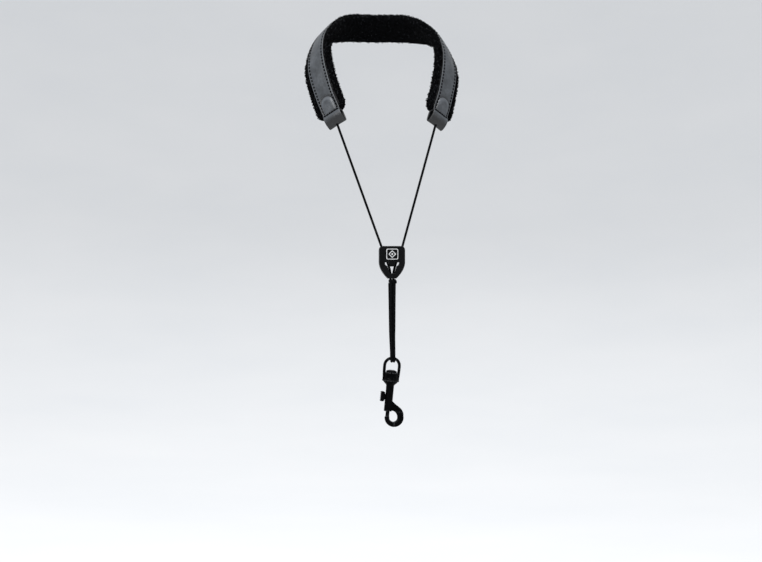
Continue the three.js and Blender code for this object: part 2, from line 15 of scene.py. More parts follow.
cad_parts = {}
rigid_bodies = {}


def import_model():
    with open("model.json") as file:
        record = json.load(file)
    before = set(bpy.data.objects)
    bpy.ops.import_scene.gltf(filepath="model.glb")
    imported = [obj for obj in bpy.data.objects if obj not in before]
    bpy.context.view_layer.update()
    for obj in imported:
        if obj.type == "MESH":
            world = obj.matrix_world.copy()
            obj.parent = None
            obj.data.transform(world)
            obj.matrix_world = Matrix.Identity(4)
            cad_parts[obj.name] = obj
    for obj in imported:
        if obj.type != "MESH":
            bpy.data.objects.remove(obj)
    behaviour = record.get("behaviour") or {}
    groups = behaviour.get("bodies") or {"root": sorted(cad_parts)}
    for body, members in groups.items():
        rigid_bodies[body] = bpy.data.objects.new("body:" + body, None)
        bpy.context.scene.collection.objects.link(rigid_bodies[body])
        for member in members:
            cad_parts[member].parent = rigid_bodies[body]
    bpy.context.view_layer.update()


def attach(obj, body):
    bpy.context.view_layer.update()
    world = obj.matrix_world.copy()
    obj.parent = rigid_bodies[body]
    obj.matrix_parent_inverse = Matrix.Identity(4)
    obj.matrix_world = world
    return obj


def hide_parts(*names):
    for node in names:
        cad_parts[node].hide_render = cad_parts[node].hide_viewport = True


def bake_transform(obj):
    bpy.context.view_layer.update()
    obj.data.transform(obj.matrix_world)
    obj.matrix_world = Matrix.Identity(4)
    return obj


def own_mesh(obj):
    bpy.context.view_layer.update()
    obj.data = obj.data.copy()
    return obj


for leftover in list(bpy.data.objects):
    bpy.data.objects.remove(leftover)
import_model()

MM = 0.001

# ---- Dimensions, as in the CAD part ----

GAP = 0.3
CORD_RADIUS = 1.2
BAND_ROUTE = [
    (0, 0, 0), (34, -12, -2), (55, -41, -16), (63, -62, -46), (57, -78, -78), (46, -93.5, -110.5),
]
BAND_FACING = [
    (0, 0.68, 0.73), (0.28, 0.62, 0.73), (0.45, 0.27, 0.85), (0.55, -0.12, 0.83),
    (0.65, -0.3, 0.69), (0.65, -0.5, 0.57),
]
LINING_FLOOR, FOAM_LOW, FOAM_HIGH, FOAM_HALF_WIDTH = 5, 5.3, 8.5, 12.2
LEATHER_LOW, LEATHER_HIGH = 8.8, 10.2
LEATHER_HALF_WIDTH, LEATHER_END_HALF_WIDTH, LEATHER_TAPER = 11.5, 10.3, 75
TAB_HALF_WIDTH, TAB_THICKNESS, TAB_ROLL = 10.3, 1.4, 14
CORD_HEIGHT = 8.0  # of the cord in the tab's tunnel, above the band's inner face
HANG_X, HANG_Y = 5.5, -100
ADJUSTER_TOP = -233
HOOK_TILT = math.radians(5.5)
EYE_BAR_Z = -348.3
LOOP_BEND = 3.4
STRAND_TOP, STRAND_EYE, BACK_SPREAD = 1.16, 1.2, 1.6
TOP_SHIFT, HOOK_SHIFT = 0.4, 0.9
STRAND_START = 38.1  # below the adjuster's top


# ---- Lines and sections ----

def unit(v):
    return v / np.linalg.norm(v, axis=-1, keepdims=True)


class Route:
    """A Catmull-Rom curve through points, parametrised as the CAD part's curves are."""

    def __init__(self, points, centripetal=True):
        p = np.array(points, float)
        self.points = np.vstack([2 * p[0] - p[1], p, 2 * p[-1] - p[-2]])
        self.centripetal = centripetal
        self.shares = np.linspace(0, 1, 201)
        self.runs = runs_along(self.at(self.shares))
        self.length = self.runs[-1]

    def at(self, t):
        t = np.clip(np.atleast_1d(np.asarray(t, float)), 0, 1) * (len(self.points) - 3)
        i = np.minimum(t.astype(int), len(self.points) - 4)
        w = (t - i)[:, None]
        p0, p1, p2, p3 = (self.points[i + k] for k in range(4))
        if self.centripetal:
            d0, d1, d2 = (
                np.sqrt(np.linalg.norm(b - a, axis=1))[:, None]
                for a, b in ((p0, p1), (p1, p2), (p2, p3))
            )
            m1 = ((p1 - p0) / d0 - (p2 - p0) / (d0 + d1) + (p2 - p1) / d1) * d1
            m2 = ((p2 - p1) / d1 - (p3 - p1) / (d1 + d2) + (p3 - p2) / d2) * d1
        else:
            m1, m2 = (p2 - p0) / 2, (p3 - p1) / 2
        c2 = 3 * (p2 - p1) - 2 * m1 - m2
        c3 = 2 * (p1 - p2) + m1 + m2
        return p1 + m1 * w + c2 * w**2 + c3 * w**3

    def share(self, run):
        """The parameter at a distance along the curve."""
        return np.interp(run, self.runs, self.shares)

    def tangent(self, t):
        return unit(self.at(np.minimum(t + 1e-4, 1)) - self.at(np.maximum(t - 1e-4, 0)))

    def every(self, step):
        """Points a step apart, from end to end."""
        count = max(int(round(self.length / step)), 2)
        return self.at(self.share(np.linspace(0, self.length, count + 1)))


def smooth_step(x):
    x = np.clip(x, 0, 1)
    return x * x * (3 - 2 * x)


def bell(x, width, y=0, y_width=1):
    """A smooth bump of height 1 where x and y are 0."""
    return np.exp(-(x / width) ** 2 - (y / y_width) ** 2)


def steps_along(points):
    return np.linalg.norm(np.diff(points, axis=0), axis=1)


def runs_along(points):
    """The distance along a line of points to each of them."""
    return np.concatenate([[0], np.cumsum(steps_along(points))])


def round_angles(count):
    return np.arange(count) * 2 * math.pi / count


def soften(corners, radius, closed=True, steps=4):
    """A polygon with its corners rounded: one radius for all corners, or one for each."""
    p = np.array(corners, float)
    radii = radius if hasattr(radius, "__len__") else [radius] * len(p)
    made = []
    for i, (corner, r) in enumerate(zip(p, radii)):
        if r <= 0 or (not closed and i in (0, len(p) - 1)):
            made.append(corner)
            continue
        before, after = p[i - 1] - corner, p[(i + 1) % len(p)] - corner
        reach = min(r, 0.48 * np.linalg.norm(before), 0.48 * np.linalg.norm(after))
        a, b = corner + unit(before) * reach, corner + unit(after) * reach
        for k in range(steps + 1):
            w = k / steps
            made.append((1 - w) ** 2 * a + 2 * w * (1 - w) * corner + w**2 * b)
    return np.array(made)


def resample(loop, spacing):
    """A closed loop with points about a spacing apart."""
    closed = np.vstack([loop, loop[:1]])
    runs = runs_along(closed)
    stops = np.linspace(0, runs[-1], int(round(runs[-1] / spacing)) + 1)[:-1]
    return np.stack([np.interp(stops, runs, closed[:, k]) for k in range(loop.shape[1])], 1)


# ---- Solids, as (points, faces) ----

def loft(rings):
    """A closed body through rings of points, of shape (rings, points, 3)."""
    rings = np.asarray(rings, float)
    rows, count = rings.shape[:2]
    faces = [
        (r * count + i, r * count + (i + 1) % count,
         (r + 1) * count + (i + 1) % count, (r + 1) * count + i)
        for r in range(rows - 1) for i in range(count)
    ]
    faces.append(tuple(range(count))[::-1])
    faces.append(tuple((rows - 1) * count + i for i in range(count)))
    return rings.reshape(-1, 3), faces


def merge(*parts):
    points, faces, base = [], [], 0
    for p, f in parts:
        points.append(p)
        faces.extend(tuple(i + base for i in face) for face in f)
        base += len(p)
    return np.vstack(points), faces


def across_line(points):
    """Two directions across each point of a line, carried along it without twist."""
    tangents = unit(np.gradient(points, axis=0))
    seed = np.array([0.0, 1.0, 0.0]) if abs(tangents[0][1]) < 0.9 else np.array([1.0, 0, 0])
    normals = []
    for tangent in tangents:
        seed = unit(seed - tangent * (seed @ tangent))
        normals.append(seed)
    normals = np.array(normals)
    return normals, np.cross(tangents, normals)


def tube(points, radius, sides=16, relief=None, taper=None):
    """A round tube along points. relief gives a height at a run and an angle."""
    a, b = across_line(points)
    angle = round_angles(sides)[None, :]
    run = runs_along(points)[:, None]
    r = np.full((len(points), sides), float(radius))
    if relief is not None:
        r = r + relief(run, angle)
    if taper is not None:
        r = r * taper[:, None]
    rim = np.cos(angle)[..., None] * a[:, None] + np.sin(angle)[..., None] * b[:, None]
    return loft(points[:, None] + rim * r[..., None])


def lathe(profile, segments=64):
    """A turned body about z, from (radius, z) points."""
    angle = round_angles(segments)
    return loft([
        np.stack([r * np.cos(angle), r * np.sin(angle), np.full(segments, z)], 1)
        for r, z in profile
    ])


def turned(profile, radii, segments):
    """A turned body about z whose profile has its corners rounded."""
    return lathe(soften(profile, radii, closed=False), segments)


def inset(loop, amount):
    """A loop moved into its material, which is on its left."""
    edge = unit(np.roll(loop, -1, 0) - loop)
    left = np.stack([-edge[:, 1], edge[:, 0]], 1)
    both = left + np.roll(left, 1, 0)
    mitre = np.maximum((both * both).sum(1, keepdims=True) / 2, 0.6)
    return loop + both / mitre * amount


def anticlockwise(loop, wanted=True):
    x, y = loop[:, 0], loop[:, 1]
    area = (x * np.roll(y, -1) - y * np.roll(x, -1)).sum()
    return loop if (area > 0) == wanted else loop[::-1]


def plate(outline, front, back, bevel, holes=(), steps=4):
    """A flat body in x and z from y = front to y = back, with round edges."""
    loops = [anticlockwise(np.asarray(outline, float))]
    loops += [anticlockwise(np.asarray(h, float), False) for h in holes]
    rim = 0.06
    levels = [(bevel + rim, front)]
    for k in range(steps + 1):
        angle = k / steps * math.pi / 2
        levels.append((bevel * (1 - math.sin(angle)), front + bevel * (1 - math.cos(angle))))
    levels += [(inward, front + back - y) for inward, y in levels[::-1]]
    sizes = [len(loop) for loop in loops]
    starts = np.concatenate([[0], np.cumsum(sizes)])[:-1]
    total = sum(sizes)
    points, faces = [], []
    for inward, y in levels:
        for loop in loops:
            flat = inset(loop, inward)
            points.append(np.stack([flat[:, 0], np.full(len(flat), y), flat[:, 1]], 1))
    for level in range(len(levels) - 1):
        for start, size in zip(starts, sizes):
            for i in range(size):
                a, b = level * total + start + i, level * total + start + (i + 1) % size
                faces.append((a, b, b + total, a + total))
    points = np.vstack(points)
    cap = [
        [Vector((p[0], p[2], 0)) for p in points[start:start + size]]
        for start, size in zip(starts, sizes)
    ]
    last = (len(levels) - 1) * total
    for a, b, c in tessellate_polygon(cap):
        faces.append((a, b, c))
        faces.append((last + a, last + c, last + b))
    return points, faces


def box(low, high):
    x0, y0, z0 = low
    x1, y1, z1 = high
    ring = [(x0, y0), (x1, y0), (x1, y1), (x0, y1)]
    return loft([[(x, y, z) for x, y in ring] for z in (z0, z1)])


def placed(part, matrix=None, offset=(0, 0, 0)):
    points, faces = part
    if matrix is not None:
        points = points @ np.asarray(matrix, float).T
    return points + np.array(offset, float), faces


# ---- Objects ----

def mesh_object(name, part, sharp=40):
    points, faces = part
    mesh = bpy.data.meshes.new(name)
    mesh.from_pydata((points * MM).tolist(), [], [tuple(map(int, f)) for f in faces])
    made = bmesh.new()
    made.from_mesh(mesh)
    bmesh.ops.remove_doubles(made, verts=made.verts, dist=1e-7)
    bmesh.ops.recalc_face_normals(made, faces=made.faces)
    made.to_mesh(mesh)
    made.free()
    mesh.shade_smooth()
    mesh.set_sharp_from_angle(angle=math.radians(sharp))
    obj = bpy.data.objects.new(name, mesh)
    bpy.context.scene.collection.objects.link(obj)
    return obj


def carve(obj, part, operation="DIFFERENCE", sharp=40):
    """A boolean of obj with a closed part, applied to obj's mesh."""
    tool = mesh_object("tool", part)
    modifier = obj.modifiers.new("carve", "BOOLEAN")
    modifier.object = tool
    modifier.operation = operation
    modifier.solver = "EXACT"
    graph = bpy.context.evaluated_depsgraph_get()
    made = bpy.data.meshes.new_from_object(obj.evaluated_get(graph))
    obj.modifiers.clear()
    obj.data = made
    bpy.data.objects.remove(tool)
    made.shade_smooth()
    made.set_sharp_from_angle(angle=math.radians(sharp))


def piece(name, part, material, body=None, stands_for=(), sharp=40):
    """A finished object: part is (points, faces) or an object that is already made."""
    obj = mesh_object(name, part, sharp) if isinstance(part, tuple) else part
    obj.name = name
    obj.data.materials.clear()
    obj.data.materials.append(material)
    if body:
        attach(obj, body)
    if stands_for:
        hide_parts(*stands_for)
    return obj


def set_share(obj, name, values):
    """A mark's share at each point, from 0 to 1, for the material to read: wear and edge paint,
    painted highlight and painted shade.
    """
    layer = obj.data.attributes.new(name, "FLOAT", "POINT")
    layer.data.foreach_set("value", np.asarray(values, np.float32))


def set_wear_and_highlight(obj, values):
    set_share(obj, "wear_and_highlight", values)


def local_points(obj, matrix, origin):
    """An object's points in a frame of its own, in millimetres."""
    return (np.array([v.co for v in obj.data.vertices]) / MM - origin) @ matrix


# ---- Camera ----

CAMERA_PLACE = (-0.2345, -2.0862, -0.269)
CAMERA_AZIMUTH = -6.57

lens = bpy.data.cameras.new("camera")
lens.lens = 92
lens.sensor_width = 36
camera = bpy.data.objects.new("camera", lens)
camera.location = CAMERA_PLACE
camera.rotation_euler = (math.radians(90), 0, math.radians(CAMERA_AZIMUTH))
bpy.context.scene.collection.objects.link(camera)
bpy.context.scene.camera = camera
bpy.context.scene.view_settings.view_transform = "Standard"


# ---- Materials ----

class Paint:
    """A node tree in the making, round one Principled shader."""

    def __init__(self, name, **sockets):
        self.material = bpy.data.materials.new(name)
        self.material.use_nodes = True
        self.tree = self.material.node_tree
        self.shader = next(n for n in self.tree.nodes if n.type == "BSDF_PRINCIPLED")
        for socket, value in sockets.items():
            self.shader.inputs[socket.replace("_", " ")].default_value = value
        self.place = self.tree.nodes.new("ShaderNodeTexCoord").outputs["Object"]

    def node(self, kind, inputs=(), **settings):
        made = self.tree.nodes.new("ShaderNode" + kind)
        for key, value in settings.items():
            setattr(made, key, value)
        for key, value in dict(inputs).items():
            if isinstance(value, bpy.types.NodeSocket):
                self.tree.links.new(value, made.inputs[key])
            else:
                made.inputs[key].default_value = value
        return made

    def noise(self, scale, detail=3, roughness=0.5, stretch=None):
        place = self.place
        if stretch is not None:
            place = self.node("Mapping", {"Vector": place, "Scale": stretch}).outputs[0]
        return self.node("TexNoise", {
            "Vector": place, "Scale": scale, "Detail": detail, "Roughness": roughness,
        }).outputs[0]

    def attribute(self, name):
        return self.node("Attribute", attribute_name=name).outputs["Fac"]

    def spread(self, value, low, high, out_low=0.0, out_high=1.0):
        return self.node("MapRange", {
            "Value": value, "From Min": low, "From Max": high,
            "To Min": out_low, "To Max": out_high,
        }).outputs[0]

    def mix(self, share, a, b):
        made = self.node("Mix", data_type="RGBA")
        for socket, value in ((made.inputs[0], share), (made.inputs[6], a), (made.inputs[7], b)):
            if isinstance(value, bpy.types.NodeSocket):
                self.tree.links.new(value, socket)
            elif socket.type == "RGBA":
                socket.default_value = (*value, 1)
            else:
                socket.default_value = value
        return made.outputs[2]

    def between(self, field, low, high, dark, light):
        """A tone from dark to light as the field goes from low to high."""
        return self.mix(self.spread(field, low, high), dark, light)

    def set(self, socket, value):
        self.tree.links.new(value, self.shader.inputs[socket])

    def finish(self, tone, roughness, *layers):
        """The material. Each layer is a bump: its field, and its depth in millimetres."""
        self.set("Base Color", tone)
        self.set("Roughness", roughness)
        normal = None
        for height, depth in layers:
            inputs = {"Height": height, "Distance": depth * MM, "Strength": 1.0}
            if normal is not None:
                inputs["Normal"] = normal
            normal = self.node("Bump", inputs).outputs[0]
        self.set("Normal", normal)
        return self.material


def leather_material():
    paint = Paint("grained_leather", Specular_IOR_Level=0.5)
    tone = paint.between(paint.noise(75, 5, 0.62), 0.34, 0.66,
                         (0.024, 0.0275, 0.032), (0.078, 0.0865, 0.098))
    speckle = paint.spread(paint.noise(420, 3, 0.6), 0.36, 0.64, 0.0, 0.45)
    grain = paint.node("TexVoronoi", {"Vector": paint.place, "Scale": 2100},
                       feature="DISTANCE_TO_EDGE").outputs["Distance"]
    for share, colour in (
        (speckle, (0.020, 0.023, 0.027)),
        (paint.spread(grain, 0.0, 0.12, 0.55, 0.0), (0.014, 0.0162, 0.019)),
        # lighter: real worn edges, and painted highlight on stitch puffs, the tongues and the
        # rolls' tops
        (paint.attribute("wear_and_highlight"), (0.072, 0.080, 0.091)),
        # darker: the real black edge paint, and painted shade round the tongues and on the rolls'
        # lower parts and insides
        (paint.attribute("edge_paint_and_shade"), (0.0025, 0.0027, 0.0032)),
    ):
        tone = paint.mix(share, tone, colour)
    return paint.finish(
        tone, paint.spread(paint.noise(160, 4), 0.3, 0.7, 0.30, 0.48),
        (paint.spread(grain, 0.0, 0.3), 0.028), (paint.noise(5200, 3), 0.012),
        (paint.noise(210, 2), 0.14))


def plain_material(name, tone, roughness, bump, **sockets):
    """tone is a noise and what it runs between; roughness a noise's scale and its own range."""
    paint = Paint(name, **sockets)
    (noise_of, *span), (scale, *reach), (*relief, depth) = tone, roughness, bump
    return paint.finish(
        paint.between(paint.noise(*noise_of), *span),
        paint.spread(paint.noise(scale), 0.3, 0.7, *reach), (paint.noise(*relief), depth))


def plush_material():
    paint = Paint("curly_plush", Specular_IOR_Level=0.02)
    tone = paint.between(paint.noise(420, 5, 0.65), 0.36, 0.68,
                         (0.0003, 0.0003, 0.0004), (0.0030, 0.0032, 0.0038))
    # Painted highlights: lighter pile tops and some lighter curls.
    lit = paint.spread(paint.attribute("wear_and_highlight"), 0.35, 1.0)
    return paint.finish(
        paint.mix(lit, tone, (0.032, 0.034, 0.038)),
        paint.spread(paint.noise(700), 0.3, 0.7, 0.82, 1.0), (paint.noise(1500, 5, 0.7), 0.5))


def foam_material():
    paint = Paint("dark_foam", Specular_IOR_Level=0.2)
    pores = paint.node("TexVoronoi", {"Vector": paint.place, "Scale": 1400})
    return paint.finish(
        paint.between(paint.noise(900), 0.3, 0.7, (0.010, 0.010, 0.011), (0.030, 0.030, 0.032)),
        paint.spread(paint.noise(500), 0.3, 0.7, 0.88, 1.0), (pores.outputs["Distance"], 0.3))


def plastic_material():
    paint = Paint("gloss_plastic", Specular_IOR_Level=0.09, Coat_Weight=0.03,
                  Coat_Roughness=0.05)
    tone = paint.between(paint.noise(120, 4), 0.35, 0.65,
                         (0.0010, 0.0010, 0.0012), (0.0028, 0.0029, 0.0034))
    smears = paint.noise(90, 5, 0.6, stretch=(1, 1, 0.35))
    return paint.finish(
        # Painted highlight: a lighter line along the adjuster's top edge.
        paint.mix(paint.attribute("wear_and_highlight"), tone, (0.075, 0.078, 0.085)),
        paint.spread(smears, 0.35, 0.7, 0.10, 0.26),
        (paint.noise(500, 2), 0.012), (paint.noise(4000, 2), 0.003))


def coated_metal_material():
    paint = Paint("black_coated_metal", Specular_IOR_Level=0.018, Coat_Weight=0.010,
                  Coat_Roughness=0.12)
    tone = paint.between(paint.noise(260, 4), 0.35, 0.65,
                         (0.0004, 0.0004, 0.0005), (0.0018, 0.0019, 0.0022))
    patches = paint.spread(paint.noise(700, 5), 0.42, 0.62)
    # Lighter in patches: real worn paint on the hook's edges, and painted highlights on the eye's
    # rims and the rivet's dome.
    wear_and_highlight_patches = paint.node("Math", {0: paint.attribute("wear_and_highlight"), 1: patches}, operation="MULTIPLY")
    return paint.finish(
        paint.mix(wear_and_highlight_patches.outputs[0], tone, (0.060, 0.062, 0.066)),
        paint.spread(paint.noise(600, 4), 0.3, 0.7, 0.22, 0.38),
        (paint.noise(900, 2), 0.012), (paint.noise(5200, 2), 0.004))


def steel_material():
    paint = Paint("plain_steel", Metallic=1.0)
    scratches = paint.noise(900, 4, 0.6, stretch=(1, 1, 0.12))
    return paint.finish(
        paint.between(paint.noise(800, 4), 0.35, 0.65, (0.16, 0.16, 0.165), (0.30, 0.30, 0.31)),
        paint.spread(scratches, 0.3, 0.7, 0.22, 0.42), (scratches, 0.01))


LEATHER = leather_material()
THREAD = plain_material(
    "black_thread", ((1500,), 0.35, 0.65, (0.0004, 0.0004, 0.0005), (0.0022, 0.0022, 0.0028)),
    (2500, 0.5, 0.75), (6000, 2, 0.03), Specular_IOR_Level=0.05)
PLUSH = plush_material()
FOAM = foam_material()
CORD = plain_material(
    "braided_cord", ((600, 3), 0.35, 0.65, (0.0006, 0.0006, 0.0008), (0.0036, 0.0038, 0.0044)),
    (900, 0.36, 0.58), (7000, 2, 0.03), Specular_IOR_Level=0.025)
PLASTIC = plastic_material()
PRINT = plain_material(
    "white_inlay", ((900, 4), 0.4, 0.62, (0.46, 0.47, 0.48), (0.62, 0.62, 0.62)),
    (1500, 0.25, 0.42), (3500, 2, 0.006), Specular_IOR_Level=0.5)
COATED = coated_metal_material()
STEEL = steel_material()


# ---- The band's frame ----

BAND = Route([(-x, y, z) for x, y, z in BAND_ROUTE[:0:-1]] + BAND_ROUTE)
FACING = Route([(-x, y, z) for x, y, z in BAND_FACING[:0:-1]] + BAND_FACING, False)


def band_frame(distance):
    """Place, along, out and across at distances from the band's left end."""
    t = BAND.share(np.atleast_1d(np.asarray(distance, float)))
    along = BAND.tangent(t)
    out = FACING.at(t)
    out = unit(out - along * (out * along).sum(1, keepdims=True))
    return BAND.at(t), along, out, np.cross(along, out)


def on_band(distance, side, height):
    """Points of the band. The three are arrays that fit each other."""
    distance, side, height = np.broadcast_arrays(distance, side, height)
    at, _, out, across = band_frame(distance.ravel())
    made = at + across * side.reshape(-1, 1) + out * height.reshape(-1, 1)
    return made.reshape(*distance.shape, 3)


def from_end(side, distance):
    """The distance from the left end of a place that is a distance from one end."""
    distance = np.asarray(distance, float)
    return distance if side < 0 else BAND.length - distance


class Tunnel:
    """The frame of an end tab's roll: x down along the band, y out, z across."""

    def __init__(self, side):
        at, along, self.out, _ = (v[0] for v in band_frame(from_end(side, TAB_ROLL / 2)))
        down = along * side
        self.origin = at - down * TAB_ROLL / 2
        self.matrix = np.stack([down, self.out, np.cross(down, self.out)], 1)

    def place(self, points):
        return np.asarray(points, float) @ self.matrix.T + self.origin


TUNNELS = {-1: Tunnel(-1), 1: Tunnel(1)}
SIDES = ((-1, "left"), (1, "right"))


# ---- Cords ----

def braid(run, angle, carriers=8, pitch=1.3, height=0.17):
    """The relief of yarns that cross over and under round a cord."""
    a = angle * carriers / (2 * math.pi) + run / pitch
    b = angle * carriers / (2 * math.pi) - run / pitch
    first = (np.floor(a) + np.floor(b)) % 2 < 1
    wide, long = np.where(first, a % 1, b % 1) - 0.5, np.where(first, b % 1, a % 1) - 0.5
    bulge = np.sqrt(np.abs(np.cos(math.pi * wide))) * (0.65 + 0.35 * np.cos(math.pi * long))
    return height * (bulge - 0.68)


def cord_tube(points, radius=CORD_RADIUS, sides=28):
    return tube(points, radius, sides, braid)


CORD_STEP = 0.3


def leg_line(side):
    """One leg of the V: from the knot out of the tab and straight to the adjuster."""
    start, exit_point = TUNNELS[side].place([[9.4, CORD_HEIGHT, 0], [14.4, CORD_HEIGHT, 0]])
    end = np.array([HANG_X + side * 10.9, HANG_Y, ADJUSTER_TOP - 0.4])
    shares = (0.06, 0.2, 0.4, 0.6, 0.8, 1)
    points = [start, exit_point, *(exit_point + (end - exit_point) * s for s in shares)]
    return Route(points).every(CORD_STEP)


def loop_line(side):
    """From the tie knot down in front of the eye's bar, under it and back up behind."""
    top = ADJUSTER_TOP - STRAND_START

    def strand(y, spread):
        return [
            (STRAND_TOP + spread, 2 * y, top), (STRAND_TOP + spread * 0.8, 2.6 * y, top - 21),
            (STRAND_TOP + spread * 0.55, 3 * y, top - 51),
            (STRAND_EYE, LOOP_BEND * y, EYE_BAR_Z + 4),
        ]

    turn = [math.radians(d) for d in (180, 225, 270, 315, 360)]
    bend = [
        (STRAND_EYE, LOOP_BEND * math.cos(a), EYE_BAR_Z + LOOP_BEND * math.sin(a))
        for a in turn
    ]
    rows = strand(-1, 0) + bend + strand(1, BACK_SPREAD)[::-1]
    points = []
    for x, y, z in rows:
        share = (z - top) / (EYE_BAR_Z - top)
        middle = HANG_X + TOP_SHIFT + share * (HOOK_SHIFT - TOP_SHIFT)
        points.append((middle + side * x, HANG_Y + y, z))
    return Route(points).every(CORD_STEP)


TUNNEL_EXIT = 14  # down the tunnel, where a cord leaves its tab


def free_cord(name, line, node):
    cord = piece(name, cord_tube(line), CORD, None, [node])
    return cord


for side, label in SIDES:
    line = leg_line(side)
    exit_point = TUNNELS[side].place([[TUNNEL_EXIT, CORD_HEIGHT, 0]])[0] * MM
    leg = free_cord(f"neck_cord_{label}", line, f"cord_{label}")
    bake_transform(leg)

for side, label in SIDES:
    line = loop_line(side)
    strand = free_cord(f"hook_cord_{label}", line, f"loop_{label}")
    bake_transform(strand)


# ---- The neck band ----

TONGUE_RADIUS = 7.9
TONGUE_TIP = 19.5  # above the seam
STITCH_PITCH = 3.7
STITCH_INSET = 2.2  # from the leather's edge
LEATHER_END = TAB_ROLL + GAP + 1
STITCH_FIRST = LEATHER_END + 1.6


def from_nearer(distance):
    """Distances from the nearer end of the band, of places given from its left end."""
    return np.minimum(distance, BAND.length - distance)


def leather_half_width(distance):
    """Half the leather's width, at distances from the band's left end."""
    share = np.clip((from_nearer(distance) - TAB_ROLL) / LEATHER_TAPER, 0, 1)
    return LEATHER_END_HALF_WIDTH + share * (LEATHER_HALF_WIDTH - LEATHER_END_HALF_WIDTH)


def leather_crown(distance):
    """How far the padding lifts the leather's middle: flat under the tabs' tongues."""
    return 0.95 * smooth_step((from_nearer(distance) - 42) / 26)


STITCH_REACH = 1.0  # half a stitch's length
STITCH_RADIUS, STITCH_ARCH, STITCH_RINGS = 0.88, 0.16, 7
STITCHES = np.linspace(STITCH_FIRST, BAND.length - STITCH_FIRST,
                       int((BAND.length - 2 * STITCH_FIRST) / STITCH_PITCH) + 1)


def from_stitch(distance):
    """How far along the band places are from the middle of the nearest stitch."""
    return np.abs(distance - STITCHES[np.argmin(np.abs(distance[..., None] - STITCHES), -1)])


def beyond_tongue(distance, side):
    """How far places of the leather lie outside the outline of a tab's tongue."""
    past = np.maximum(from_nearer(distance) - (TAB_ROLL + TONGUE_TIP - TONGUE_RADIUS), 0)
    return np.hypot(side, past) - TONGUE_RADIUS


def leather_top(distance, inward):
    """The leather's height at places that are a distance in from its edge."""
    half = leather_half_width(distance)
    seam = STITCH_INSET
    inner = np.clip((inward - seam) / (half - seam), 0, 1)
    crown = leather_crown(distance) * (1 - (1 - inner) ** 2)
    groove = 0.06 * bell(inward - seam, 0.8)
    hem = 0.12 * bell(inward - 0.9, 0.6)
    past = from_stitch(distance)
    dimple = 0.16 * bell(past - STITCH_REACH, 0.4, inward - seam, 0.5)
    pucker = 0.30 * bell(STITCH_PITCH / 2 - past, 0.5, inward - seam, 0.9)
    moat = 0.35 * bell(np.maximum(beyond_tongue(distance, half - inward), 0), 1.4)
    return LEATHER_HIGH - 0.05 + crown - groove - dimple + pucker - moat + hem


def leather_strip():
    step = STITCH_PITCH / 6
    count = int(round((BAND.length - 2 * LEATHER_END) / step))
    stations = np.linspace(LEATHER_END, BAND.length - LEATHER_END, count + 1)
    seam_zone = [0.0, 0.06, 0.2, 0.42, 0.7, 1.0, 1.3, 1.6, 1.85, 2.05, 2.2, 2.35, 2.55, 2.8,
                 3.1, 3.5, 4.1]
    half = leather_half_width(stations)[:, None]
    left = np.array(seam_zone)[None, :] - half
    centre = np.linspace(-1, 1, 17)[None, 1:-1] * (half - seam_zone[-1])
    side = np.concatenate([left, centre, -left[:, ::-1]], 1)
    inward = half - np.abs(side)
    distance = stations[:, None].repeat(side.shape[1], 1)
    height = leather_top(distance, inward)
    edge = 0.5
    round_off = np.clip(1 - inward / edge, 0, 1)
    height = height - edge * (1 - np.sqrt(1 - round_off**2))
    under = np.array([0.15, 2.5, 6.5])
    under_side = np.concatenate([half - under, -(half - under)[:, ::-1]], 1)
    side = np.concatenate([side, under_side], 1)
    height = np.concatenate([height, np.full(under_side.shape, LEATHER_LOW)], 1)
    distance = stations[:, None].repeat(side.shape[1], 1)
    part = loft(on_band(distance, side, height))
    obj = piece("leather_strip", part, LEATHER, "band", ["band_leather"], 60)
    inward = (half - np.abs(side)).ravel()
    gap = STITCH_PITCH / 2 - from_stitch(distance).ravel()
    pucker = bell(gap, 0.55, inward - STITCH_INSET, 0.9)
    # Lighter along the worn edge, and a painted highlight on the puffed leather between stitches.
    set_wear_and_highlight(obj, np.clip(0.55 * bell(inward - 0.38, 0.22) + 0.8 * pucker, 0, 1))
    # Darker: painted shade in a ring round each tongue's outline, and the real black paint on the
    # leather's cut edge.
    ring = bell(np.maximum(beyond_tongue(distance, side), 0).ravel(), 2.4)
    set_share(obj, "edge_paint_and_shade", np.clip(0.72 * ring + 0.8 * (inward < 0.17), 0, 0.9))


def stitch(start, end, up):
    """A short thread from hole to hole, arched over the leather, with its ends pushed in."""
    made = []
    for k in range(STITCH_RINGS):
        w = k / (STITCH_RINGS - 1)
        lift = STITCH_ARCH * (1 - (2 * w - 1) ** 2) - 0.42 * abs(2 * w - 1) ** 6
        made.append(start + (end - start) * w + up * lift)
    swell = 0.55 + 0.45 * np.sqrt(1 - np.linspace(-0.97, 0.97, STITCH_RINGS) ** 2)
    return tube(np.array(made), STITCH_RADIUS, 8,
                lambda run, angle: 0.05 * np.cos(2 * angle - 5 * run), swell)


def leather_stitches():
    parts = []
    for edge in (-1, 1):
        for stop in STITCHES:
            ends = np.array([stop - STITCH_REACH, stop + STITCH_REACH])
            inset_line = edge * (leather_half_width(ends) - STITCH_INSET)
            a, b = on_band(ends, inset_line, LEATHER_HIGH - 0.22)
            parts.append(stitch(a, b, band_frame(stop)[2][0]))
    return parts


